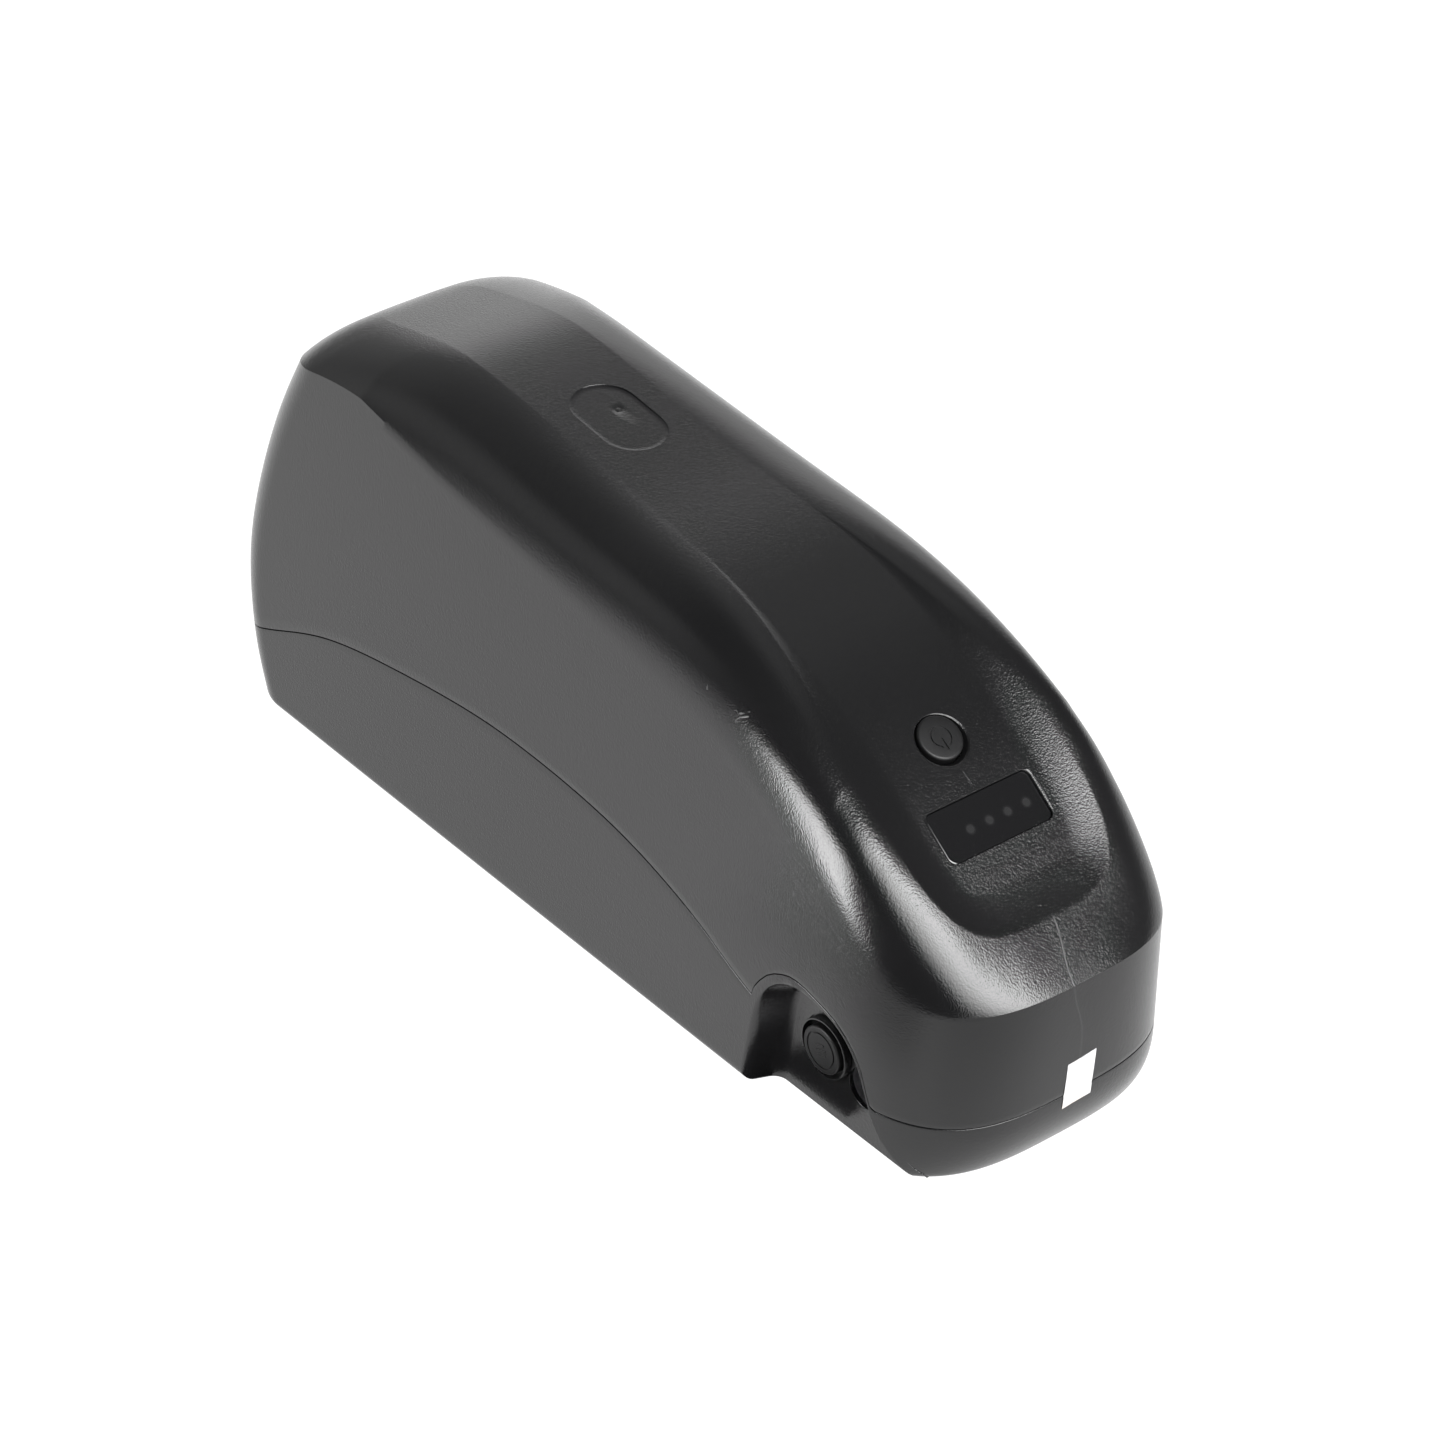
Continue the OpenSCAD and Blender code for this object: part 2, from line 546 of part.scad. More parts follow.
module button_guide() {
    color(black_plastic) on_tongue(button_x) difference() {
        translate([0, 0, switch_top - switch_h]) cylinder(d = guide_d,
            h = -wall * 1.1 - switch_top + switch_h, $fn = 64);
        translate([0, 0, flange_z - 2 * clear]) cylinder(d = button_hole_d, h = 4 * button_h, $fn = 64);
        translate([0, 0, switch_top - switch_h - over]) cylinder(d = flange_d + 2 * clear,
            h = flange_z + flange_gap - switch_top + switch_h + over, $fn = 64);
    }
}

module switch_plunger() {
    color(nickel) on_tongue(button_x) translate([0, 0, plunger_z]) cylinder(d = plunger_d, h = plunger_h, $fn = 32);
}

module switch_body() {
    color(black_plastic) on_tongue(button_x) difference() {
        translate([-switch_w / 2, -switch_w / 2, switch_top - switch_h]) cube([switch_w, switch_w, switch_h]);
        translate([0, 0, plunger_z - button_travel - clear]) cylinder(d = plunger_d + 2 * fit, h = switch_h, $fn = 32);
    }
}

module switch_board() {
    color(board_green) on_tongue(button_x)
        translate([-guide_d / 2, -guide_d / 2, switch_top - switch_h - board_t])
            cube([guide_d, guide_d, board_t]);
}

carrier_t = 1.4;
carrier_h = 3.4;
carrier_top = -lens_depth - lens_t;
lamp_d = 3;
lamp_h = 1.1;

module indicator_lens() {
    color(smoke_glass, 0.6) on_tongue(window_x) translate([0, 0, carrier_top])
        rounded_block(window_l, window_w, lens_t, window_r);
}

module lens_carrier() {
    color(black_plastic) on_tongue(window_x) difference() {
        translate([0, 0, carrier_top - carrier_h - 2 * fit]) rounded_block(window_l + 2 * carrier_t, window_w + 2 * carrier_t,
            carrier_h, window_r + carrier_t);
        translate([0, 0, carrier_top - carrier_h - over]) rounded_block(window_l - 2 * carrier_t,
            window_w - 2 * carrier_t, carrier_h + 2 * over, window_r);
    }
}

module led_board() {
    color(board_green) on_tongue(window_x) translate([0, 0, carrier_top - carrier_h - 2 * fit - board_t])
        rounded_block(window_l + 2 * carrier_t, window_w + 2 * carrier_t, board_t, window_r);
}

module indicator_leds() {
    color([0.85, 0.85, 0.80]) on_tongue(window_x) for (i = [0:3])
        translate([0, (i - 1.5) * lamp_pitch + lamp_side, carrier_top - carrier_h - 2 * fit])
            cylinder(d = lamp_d, h = lamp_h, $fn = 32);
}

// Charging port: the cap hinges on a strap at its lower back
cap_hinge_a = 230;
cap_arm = cap_d / 2 + 1.6;
strap_w = 5;
stub_d = 8;
stub_h = 1.6;
jack_d = 9.2;
jack_l = 14;
socket_l = 22;
tail_l = 2;
pin_d = 2.1;
pin_from = 5;
nut_h = 2.8;
nut_rim = 1.2;
nut_back = 4;
strap_l = 2.2;
strap_t = 1.1;
mark_ring_share = [0.78, 0.70];
mark_depth = 0.3;
bushing_end = 1.5;

module on_port() {
    translate([port_x, -notch_y, port_z]) rotate([90, 0, 0]) children();
}

module charge_cap() {
    color(dark_rubber) on_port() difference() {
        union() {
            translate([0, 0, fit - seat_t]) cylinder(d = cap_d, h = cap_t + seat_t - fit, $fn = 64);
            translate([0, 0, -seat_t - stub_h + fit]) cylinder(d = stub_d, h = stub_h + seat_t, $fn = 48);
            rotate([0, 0, cap_hinge_a]) translate([cap_arm - strap_l, -strap_w / 2, clear])
                cube([strap_l, strap_w, strap_t]);
            rotate([0, 0, cap_hinge_a]) translate([cap_arm, strap_w / 2, clear + strap_t / 2]) rotate([90, 0, 0])
                cylinder(d = strap_t, h = strap_w, $fn = 24);
        }
        translate([0, 0, cap_t - mark_depth]) difference() {
            cylinder(d = cap_d * mark_ring_share[0], h = over, $fn = 64);
            translate([0, 0, -over]) cylinder(d = cap_d * mark_ring_share[1], h = 3 * over, $fn = 64);
        }
    }
}

module charge_socket() {
    color(black_plastic) difference() {
        along_y(port_x, port_z, socket_d, -notch_y + seat_t, -notch_y + socket_l);
        along_y(port_x, port_z, jack_d, -notch_y - over, -notch_y + jack_l);
    }
}

module socket_pin() {
    color(brass) union() {
        along_y(port_x, port_z, pin_d, -notch_y + pin_from, -notch_y + jack_l);
        along_y(port_x, port_z, pin_d, -notch_y + socket_l, -notch_y + socket_l + tail_l);
    }
}

module socket_nut() {
    y1 = -notch_y + wall + nut_back;
    color(nickel) difference() {
        along_y(port_x, port_z, socket_d + 2 * nut_rim, y1 - nut_h, y1);
        along_y(port_x, port_z, socket_d + 2 * fit, y1 - nut_h - over, y1 + over);
    }
}

module lock_bushing() {
    color(steel) difference() {
        along_y(lock_x, lock_z, bushing_d, -notch_y + lock_skin, -notch_y + lock_l + bushing_end);
        along_y(lock_x, lock_z, lock_d, -notch_y - over, -notch_y + lock_l);
    }
}

plug_wall = 4;
plug_rim = 2;
plug_roof = 5;
contact_w = 6;
contact_h = 8;
contact_away = 6;
slot_w = 1;
slot_l = 4;
signal_away = 4;
signal_d = 1.5;
signal_h = 10;
signal_below = 3;
module discharge_connector() {
    color(black_plastic) translate([plug_x, plug_y, wall]) difference() {
        translate([-plug_l / 2, -plug_w / 2, 0]) cube([plug_l, plug_w, plug_h]);
        translate([plug_wall - plug_l / 2, plug_wall - plug_w / 2, -over])
            cube([plug_l - 2 * plug_wall, plug_w - 2 * plug_wall, plug_h - plug_roof + over]);
        for (x = [-contact_away, contact_away]) translate([x - contact_w / 2 - fit, -contact_w / 2 - fit, 0])
            cube([contact_w + 2 * fit, contact_w + 2 * fit, plug_h + over]);
        for (y = [-signal_away, 0, signal_away]) translate([0, y, -over])
            cylinder(d = signal_d + fit, h = plug_h + 2 * over, $fn = 24);
    }
}

module discharge_contacts() {
    color(brass) translate([plug_x, plug_y, wall]) {
        for (x = [-contact_away, contact_away]) translate([x, 0, plug_h - plug_roof]) difference() {
            translate([-contact_w / 2, -contact_w / 2, 0]) cube([contact_w, contact_w, contact_h]);
            translate([-slot_w / 2, -slot_l / 2, -over]) cube([slot_w, slot_l, plug_roof + over]);
        }
        for (y = [-signal_away, 0, signal_away]) translate([0, y, plug_h - plug_roof - signal_below])
            cylinder(d = signal_d, h = signal_h, $fn = 24);
    }
}

module case_screws() {
    color(steel) at_screws() union() {
        translate([0, 0, well_h - head_h]) difference() {
            cylinder(d = screw_head_d, h = head_h, $fn = 32);
            translate([0, 0, -over]) cylinder(d = drive_d, h = drive_h + over, $fn = 6);
        }
        translate([0, 0, well_h]) cylinder(d = screw_d, h = screw_l, $fn = 32);
    }
}

label_up = 3.1;
module seal_label() {
    z0 = nose_seam + label_up;
    lean = atan(nose_lean / crease_z(half_l));
    color([0.92, 0.92, 0.90]) translate([nose_x(z0) + fit, label_y, z0]) rotate([0, lean, 0])
        translate([0, -label_w / 2, -label_h / 2]) cube([label_t, label_w, label_h]);
}

block_x0 = back_room - half_l;
block_x1 = block_x0 + block_l;
holder_top = holder_z + block_h;
cell_x0 = block_x0 + holder_rim + cell_pitch / 2;
cell_z0 = holder_z + 2 / 3 * holder_rim + cell_pitch / 2;
function cell_x(i) = cell_x0 + cell_pitch * i;
function cell_z(j) = cell_z0 + cell_pitch * j;
cell_y = cell_l / 2;
window_share = 0.72;
// Posts that carry the board, and its screws
board_share = 0.39;
board_x = block_x0 + board_share * block_l;
post_w = 6;
screw_edge = 3.1;
post_y = board_w / 2 - screw_edge;
screw_play = 0.6;
post_foot = 0.5;
post_edge = 4;
post_xs = [board_x - board_l / 2 + post_edge, board_x + board_l / 2 - post_edge];
thread_d = 2;
thread_l = 5;
thread_head_d = 4.4;
thread_head_h = 1.6;

module cell_holder(s) {
    color([0.16, 0.16, 0.17]) mirror([0, s < 0 ? 1 : 0, 0]) difference() {
        union() {
            translate([block_x0, cell_y + holder_t - grip - holder_t, holder_z])
                cube([block_x1 - block_x0, grip + holder_t, holder_top - holder_z]);
            for (x = post_xs) translate([x - post_w / 2, post_y - post_w / 2, holder_top - post_foot])
                cube([post_w, cell_y - post_y + post_w / 2, post_foot + board_lift]);
        }
        for (i = [0:cell_cols - 1], j = [0:cell_rows - 1]) {
            along_y(cell_x(i), cell_z(j), cell_d + 2 * fit, cell_y - grip - over, cell_y);
            along_y(cell_x(i), cell_z(j), cell_d * window_share, cell_y - over, cell_y + holder_t + over);
        }
        for (x = post_xs) translate([x, post_y, holder_top - fit])
            cylinder(d = thread_d + fit, h = board_lift + fit + over, $fn = 24);
    }
}

module cell_holder_left() { cell_holder(-1); }
module cell_holder_right() { cell_holder(1); }

// One cell standing along Y, its button end towards +Y or -Y
cell_round = 1;
crimp = 0.8;
nub_r = 3.4;
module cell(x, z, s) {
    translate([x, 0, z]) rotate([-90 * s, 0, 0]) rotate_extrude($fn = 48) polygon([[0, -cell_y],
        [cell_d / 2 - cell_round, -cell_y], [cell_d / 2, cell_round - cell_y],
        [cell_d / 2, cell_y - 2 * crimp], [cell_d / 2 - crimp, cell_y - crimp], [nub_r, cell_y - crimp],
        [nub_r, cell_y], [0, cell_y]]);
}

module cell_group(i) {
    color(cell_wrap) for (j = [0:cell_rows - 1]) cell(cell_x(i), cell_z(j), i % 2 == 0 ? 1 : -1);
}

module cell_group_01() { cell_group(0); }
module cell_group_02() { cell_group(1); }
module cell_group_03() { cell_group(2); }
module cell_group_04() { cell_group(3); }
module cell_group_05() { cell_group(4); }
module cell_group_06() { cell_group(5); }
module cell_group_07() { cell_group(6); }
module cell_group_08() { cell_group(7); }
module cell_group_09() { cell_group(8); }
module cell_group_10() { cell_group(9); }

strip_t = 0.3;
pad_d = 6;

// Nickel strip over the columns from a to b on one side
module busbar(a, b, s) {
    w = cell_pitch * window_share;
    mirror([0, s < 0 ? 1 : 0, 0]) union() {
        translate([cell_x(a) - w / 2, cell_y + holder_t, cell_z(0) - w / 2])
            cube([cell_x(b) - cell_x(a) + w, strip_t, cell_z(cell_rows - 1) - cell_z(0) + w]);
        for (i = [a:b], j = [0:cell_rows - 1])
            along_y(cell_x(i), cell_z(j), pad_d, cell_y, cell_y + holder_t + strip_t);
    }
}

module busbars_right() {
    color(nickel) for (i = [0:2:cell_cols - 2]) busbar(i, i + 1, 1);
}

module busbars_left() {
    color(nickel) union() {
        busbar(0, 0, -1);
        for (i = [1:2:cell_cols - 3]) busbar(i, i + 1, -1);
        busbar(cell_cols - 1, cell_cols - 1, -1);
    }
}

sheet_t = 0.4;
sheet_edge = 1;
module insulation(s) {
    color([0.55, 0.62, 0.50]) mirror([0, s < 0 ? 1 : 0, 0])
        translate([block_x0 + sheet_edge, cell_y + holder_t + strip_t, holder_z + sheet_edge])
            cube([block_l - 2 * sheet_edge, sheet_t, block_h - 2 * sheet_edge]);
}

module insulation_left() { insulation(-1); }
module insulation_right() { insulation(1); }

board_z = holder_top + board_lift;
board_top = board_z + board_t;

module bms_board() {
    color(board_green) difference() {
        translate([board_x - board_l / 2, -board_w / 2, board_z]) cube([board_l, board_w, board_t]);
        for (x = post_xs, s = [-1, 1]) translate([x, s * post_y, board_z - over])
            cylinder(d = thread_d + 2 * screw_play, h = board_t + 2 * over, $fn = 24);
    }
}

// Places on the board: shares of its length and width from its centre; sizes in millimetres
transistor_share = [-0.435, 0.125, 0.13];
transistor_l = 10;
transistor_w = 9;
transistor_h = 4.4;
spreader_edge = 1;
spreader_h = 4;
fin_h = 2.6;
fin_gap = 1.2;
module bms_transistors() {
    color(smoke_glass) for (i = [0:5]) translate([board_x + (transistor_share[0] + i * transistor_share[2]
        * 0.96) * board_l, transistor_share[1] * board_w, board_top]) cube([transistor_l, transistor_w, transistor_h]);
}

module bms_heat_spreader() {
    l = 5 * transistor_share[2] * 0.96 * board_l + transistor_l + 2 * spreader_edge;
    w = transistor_w + 2 * spreader_edge;
    color([0.75, 0.76, 0.78]) translate([board_x + transistor_share[0] * board_l - spreader_edge,
        transistor_share[1] * board_w - spreader_edge, board_top + transistor_h]) difference() {
        cube([l, w, spreader_h]);
        for (i = [0:3]) translate([-over, fin_gap + i * 2 * fin_gap, spreader_h - fin_h])
            cube([l + 2 * over, fin_gap, fin_h + over]);
    }
}

chip_share = [[-0.33, -0.26], [-0.13, -0.24]];
chip_w = [10, 7];
chip_h = 1.2;
small_share = [0.02, -0.15, 0.054];
small_l = 3.2;
small_w = 1.6;
can_share = [[-0.37, -0.37], [-0.283, -0.37]];
can_d = 6;
module bms_chips() {
    color(smoke_glass) translate([board_x, 0, board_top]) {
        for (i = [0:1]) translate([chip_share[i][0] * board_l, chip_share[i][1] * board_w, 0])
            cube([chip_w[i], chip_w[i], chip_h]);
        for (i = [0:4]) translate([(small_share[0] + i * small_share[2]) * board_l, small_share[1] * board_w, 0])
            cube([small_l, small_w, chip_h]);
        for (s = can_share) translate([s[0] * board_l, s[1] * board_w, 0]) cylinder(d = can_d, h = can_d, $fn = 32);
    }
}

header_share = [-0.174, -0.463];
header_l = 30;
header_w = 5.5;
header_h = 6;
outlet_share = [0.391, -0.167];
outlet_l = 7;
outlet_w = 9;
outlet_h = 5;
module bms_sockets() {
    color([0.90, 0.88, 0.82]) translate([board_x, 0, board_top]) {
        translate([header_share[0] * board_l, header_share[1] * board_w, 0]) cube([header_l, header_w, header_h]);
        translate([outlet_share[0] * board_l, outlet_share[1] * board_w, 0]) cube([outlet_l, outlet_w, outlet_h]);
    }
}

fuse_share = [0.359, 0.13];
fuse_l = 9;
fuse_w = 13;
fuse_h = 7;
module main_fuse() {
    color([0.80, 0.72, 0.35]) translate([board_x + fuse_share[0] * board_l, fuse_share[1] * board_w, board_top])
        cube([fuse_l, fuse_w, fuse_h]);
}

module bms_screws() {
    color(steel) for (x = post_xs, s = [-1, 1])
        translate([x, s * post_y, board_top]) union() {
            cylinder(d = thread_head_d, h = thread_head_h, $fn = 32);
            translate([0, 0, -board_t - thread_l]) cylinder(d = thread_d, h = board_t + thread_l, $fn = 24);
        }
}

bead_d = 4;
bead_lower = 3;
module thermistor() {
    color([0.20, 0.12, 0.08]) translate([cell_x(4) + cell_pitch / 2, 0,
        cell_z(cell_rows - 1) + cell_d / 2 - bead_lower]) sphere(d = bead_d, $fn = 32);
}

foam_share = [0.223, 0.462];
foam_back = 3.3;
foam_w_share = 0.711;
module back_foam() {
    x1 = cell_x0 - cell_d / 2 - clear;
    x0 = wall + foam_back - half_l + 1;
    color([0.20, 0.20, 0.21]) translate([x0, -foam_w_share * half_w / 2, foam_share[0] * body_h])
        cube([x1 - x0, foam_w_share * half_w, (foam_share[1] - foam_share[0]) * body_h]);
}

// A lead: a round tube swept along its route
function ring_dir(r, i) = let (a = r[max(i - 1, 0)], b = r[min(i + 1, len(r) - 1)]) (b - a) / norm(b - a);
function side_of(d) = let (u = abs(d[1]) < 0.9 ? [0, 1, 0] : [1, 0, 0], c = cross(d, u)) c / norm(c);
function tube_ring(r, i, d, n) = let (t = ring_dir(r, i), u = side_of(t), v = cross(t, u))
    [for (k = [0:n - 1]) r[i] + (u * cos(360 * k / n) + v * sin(360 * k / n)) * d / 2];
module lead(route, d) {
    n = 8;
    m = len(route);
    polyhedron(points = flat([for (i = [0:m - 1]) tube_ring(route, i, d, n)]),
        faces = concat(tube_faces(m, n), [[for (k = [0:n - 1]) k]],
            [[for (k = [n - 1:-1:0]) (m - 1) * n + k]]), convexity = 6);
}

positive_route = [[-9, 14, 92.5], [0, 14, 92.5], [12, 14, 92.5], [24, 14, 92.5], [36, 14, 92],
    [48, 14, 91], [58, 13, 88], [66, 12, 82], [72, 11, 74], [76, 10, 64], [79, 9, 54],
    [83, 8, 45], [89, 7, 37], [95, 5, 31], [98, 3, 25.5], [98, 3, 20]];
negative_route = [[-9, 4, 92.5], [0, 4, 92.5], [12, 4, 92.5], [24, 4, 92.5], [36, 4, 92],
    [48, 4, 91], [58, 4, 88], [66, 3, 82], [72, 2, 74], [77, 1, 64], [82, 0, 54],
    [88, 0, 46], [96, 0, 40], [104, 1, 35], [109, 3, 30], [110, 3, 25], [110, 3, 20]];
charge_route = [[-9, -12, 92.5], [0, -12, 92.5], [12, -12, 92.5], [24, -12, 92.5], [36, -12, 92],
    [48, -12, 91], [58, -12, 88], [66, -12, 82], [72, -12, 74], [76, -12, 64], [79, -12, 54],
    [83, -12, 44], [89, -11, 35], [95, -9, 27], [99, -8, 22], [port_x, -9, port_z], [port_x, -12.4, port_z]];
display_route = [[-8.2, -5, 94], [0, -5, 95.5], [12, -5, 96.5], [26, -5, 97], [40, -5, 97],
    [54, -5, 95], [64, -5, 90], [72, -5, 85.2], [81.5, -5, 80.9], [86, -5, 78.2], [91, -5, 75.2],
    [96, -5, 72.2], [100, -5, 71.4], [104, -5, 72.3]];
balance_x = board_x + header_share[0] * board_l + header_l / 2;
balance_y = header_share[1] * board_w + header_w / 2;
side_way = -(cell_y + holder_t + strip_t + sheet_t + balance_lead_d / 2 + 2 * fit);
header_top = board_top + header_h;
balance_route = [[balance_x, balance_y, header_top + 3 * fit], [balance_x, balance_y, header_top + balance_lead_d],
    [balance_x, balance_y - 0.4 * header_w, header_top + 1.5 * balance_lead_d],
    [balance_x, balance_y - header_w, header_top + 1.2 * balance_lead_d],
    [balance_x, -board_w / 2 - balance_lead_d, board_top + 0.6 * header_h],
    [balance_x, -board_w / 2 - 2 * balance_lead_d, board_top], [balance_x, side_way + 0.4 * balance_lead_d, board_z - board_t],
    [balance_x, side_way, holder_top], [balance_x, side_way, holder_top - 4 * balance_lead_d]];

module positive_lead() { color([0.60, 0.05, 0.05]) lead(positive_route, power_lead_d); }
module negative_lead() { color([0.05, 0.05, 0.05]) lead(negative_route, power_lead_d); }
module charge_lead() { color([0.65, 0.10, 0.10]) lead(charge_route, charge_lead_d); }
module display_lead() { color([0.55, 0.55, 0.58]) lead(display_route, signal_lead_d); }
module balance_lead() { color([0.80, 0.80, 0.82]) lead(balance_route, balance_lead_d); }

upper_shell();
lower_shell();
shell_seal();
power_button();
button_guide();
switch_plunger();
switch_body();
switch_board();
indicator_lens();
lens_carrier();
led_board();
indicator_leds();
charge_cap();
charge_socket();
socket_pin();
socket_nut();
lock_bushing();
discharge_connector();
discharge_contacts();
case_screws();
seal_label();
cell_holder_left();
cell_holder_right();
cell_group_01();
cell_group_02();
cell_group_03();
cell_group_04();
cell_group_05();
cell_group_06();
cell_group_07();
cell_group_08();
cell_group_09();
cell_group_10();
busbars_left();
busbars_right();
insulation_left();
insulation_right();
bms_board();
bms_transistors();
bms_heat_spreader();
bms_chips();
bms_sockets();
main_fuse();
bms_screws();
thermistor();
back_foam();
positive_lead();
negative_lead();
charge_lead();
display_lead();
balance_lead();
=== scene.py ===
# %% [markdown]
# This script dresses the solids of an e-bike battery: two black moulded shells with a sunken
# tongue, a power button, a charge window and a side notch with a capped port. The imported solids
# give the frame, in metres, and every new piece is built where its solid stands.

# %% Load the solids
import json
import math

import bpy
import numpy as np
from mathutils import Matrix, Vector


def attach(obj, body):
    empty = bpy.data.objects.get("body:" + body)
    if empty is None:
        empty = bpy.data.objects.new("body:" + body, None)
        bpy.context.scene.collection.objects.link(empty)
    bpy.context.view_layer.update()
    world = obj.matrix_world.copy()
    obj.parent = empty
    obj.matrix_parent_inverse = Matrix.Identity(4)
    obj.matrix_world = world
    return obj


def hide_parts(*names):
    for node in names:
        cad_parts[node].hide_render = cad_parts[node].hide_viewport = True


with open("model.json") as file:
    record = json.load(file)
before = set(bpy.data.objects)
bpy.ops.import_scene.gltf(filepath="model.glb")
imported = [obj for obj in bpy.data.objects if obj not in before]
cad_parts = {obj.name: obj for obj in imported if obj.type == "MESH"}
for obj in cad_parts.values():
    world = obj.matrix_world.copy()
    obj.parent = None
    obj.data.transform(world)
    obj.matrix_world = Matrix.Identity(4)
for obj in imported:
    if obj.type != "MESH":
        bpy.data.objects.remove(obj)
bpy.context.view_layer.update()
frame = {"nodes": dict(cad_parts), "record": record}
nodes = frame["nodes"]

# %% [markdown]
# The camera comes first, because every later choice is judged through it. Its place was worked
# out from the edges of the object: 1.15 m away, turned by 52 degrees and looking down by 36.
# A long lens and a small shift put the object in the frame as it was photographed.

# %% Camera
MM = 0.001
AZIMUTH, ELEVATION, DISTANCE = math.radians(51.68), math.radians(35.89), 1.150
AIM = Vector((-0.0137, 0, 0))
LENS_MM, SENSOR_MM = 109.07, 36.0
SHIFT_X, SHIFT_Y = 0.04721, 0.08129


def add_camera():
    back = Vector((math.sin(AZIMUTH) * math.cos(ELEVATION), -math.cos(AZIMUTH) * math.cos(ELEVATION),
                   math.sin(ELEVATION)))
    bpy.ops.object.camera_add(location=AIM + back * DISTANCE)
    camera = bpy.context.object
    camera.rotation_euler = back.to_track_quat("Z", "Y").to_euler()
    camera.data.sensor_width = SENSOR_MM
    camera.data.lens = LENS_MM
    camera.data.shift_x, camera.data.shift_y = SHIFT_X, SHIFT_Y
    camera.data.clip_start, camera.data.clip_end = 0.05, 20
    bpy.context.scene.camera = camera
    return camera


camera = add_camera()
print("camera at", [round(v, 3) for v in camera.location])

# %% [markdown]
# Smooth mouldings are drawn from a few given stations. A natural cubic spline through them
# keeps its curvature even, so that highlights run along the shell without kinks.

# %% Smooth curves through stations
HALF_L, HALF_W, HEIGHT = 148.0, 45.0, 125.6


def spline(stations, x):
    """Natural cubic spline through (x, y) stations, straight beyond both ends."""
    xs, ys = np.array(stations, float).T
    n, h = len(xs), np.diff(xs)
    system, right = np.eye(n), np.zeros(n)
    for i in range(1, n - 1):
        system[i, i - 1:i + 2] = h[i - 1], 2 * (h[i - 1] + h[i]), h[i]
        right[i] = 6 * ((ys[i + 1] - ys[i]) / h[i] - (ys[i] - ys[i - 1]) / h[i - 1])
    bend = np.linalg.solve(system, right)
    x = np.asarray(x, float)
    k = np.clip(np.searchsorted(xs, x) - 1, 0, n - 2)
    a, b, hk = xs[k + 1] - np.clip(x, xs[0], xs[-1]), np.clip(x, xs[0], xs[-1]) - xs[k], h[k]
    y = (bend[k] * a ** 3 + bend[k + 1] * b ** 3) / (6 * hk) \
        + (ys[k] / hk - bend[k] * hk / 6) * a + (ys[k + 1] / hk - bend[k + 1] * hk / 6) * b
    first = (ys[1] - ys[0]) / h[0] - h[0] * bend[1] / 6
    last = (ys[-1] - ys[-2]) / h[-1] + h[-1] * bend[-2] / 6
    return y + first * np.minimum(x - xs[0], 0) + last * np.maximum(x - xs[-1], 0)


def smooth(x, lo, hi):
    u = np.clip((np.asarray(x, float) - lo) / (hi - lo), 0, 1)
    return u * u * (3 - 2 * u)


# Stations: shares of half the length and of the height
TOP_SHARES = [(-0.886, 0.756), (-0.851, 0.842), (-0.818, 0.898), (-0.774, 0.933), (-0.716, 0.954),
              (-0.615, 0.979), (-0.50, 1.0), (-0.37, 0.995), (-0.23, 0.975), (0.04, 0.936),
              (0.31, 0.893), (0.51, 0.809), (0.68, 0.695), (0.82, 0.575), (0.92, 0.475), (1.0, 0.39)]
CREASE_SHARES = [(-0.59, 0.908), (-0.50, 0.888), (-0.36, 0.856), (-0.23, 0.834), (0.04, 0.795),
                 (0.31, 0.735), (0.515, 0.643), (0.72, 0.503), (0.81, 0.441), (0.87, 0.413),
                 (0.93, 0.405), (1.0, 0.41)]
BACK_SHARES = [(0, 0.943), (0.0955, 0.976), (0.19, 0.994), (0.303, 1.0), (0.39, 0.993), (0.478, 0.976),
               (0.637, 0.931), (0.756, 0.8865), (0.862, 0.838)]
STRIP_SHARES = [(-0.80, 0.335), (-0.57, 0.336), (-0.43, 0.351), (-0.09, 0.347), (0.18, 0.38),
                (0.45, 0.50), (0.65, 0.602), (0.75, 0.628), (0.85, 0.635), (0.95, 0.637)]
SEAM_SHARES = [(-1.0, 0.143), (-0.916, 0.169), (-0.804, 0.223), (-0.706, 0.268), (-0.608, 0.299),
               (-0.48, 0.327), (-0.331, 0.353), (-0.189, 0.369), (-0.068, 0.371), (0.068, 0.363),
               (0.189, 0.345), (0.304, 0.313), (0.405, 0.272), (0.486, 0.230), (0.534, 0.209)]
CREASE_BACK_Z, CREASE_BACK_X = 108.2, -86.3


def top_z(x):
    return HEIGHT * spline(TOP_SHARES, np.asarray(x) / HALF_L)


def top_tilt(x):
    return math.atan((float(top_z(x - 1)) - float(top_z(x + 1))) / 2)


def back_x(z):
    return -HALF_L * spline(BACK_SHARES, np.asarray(z) / HEIGHT)


def crease_z(x, back):
    """Upper edge of the side wall; round the back corner it settles to one height."""
    side = HEIGHT * spline(CREASE_SHARES, np.maximum(x, CREASE_BACK_X) / HALF_L)
    start = HEIGHT * float(spline(CREASE_SHARES, CREASE_BACK_X / HALF_L))
    u = np.clip((x - back) / (CREASE_BACK_X - back), 0, 1)
    corner = CREASE_BACK_Z + (start - CREASE_BACK_Z) * np.sin(u * math.pi / 2)
    return np.where(x > CREASE_BACK_X, side, corner)


def side_y(x, z):
    return HALF_W - 0.0517 * z - 2.2 * np.clip((107.5 - x) / 257, 0, 2) ** 1.3


def strip_w(x):
    return HALF_W * spline(STRIP_SHARES, np.asarray(x) / HALF_L)


print("hump", round(float(top_z(-74)), 1), "mm, nose edge", round(float(crease_z(148.0, -124.0)), 1), "mm")

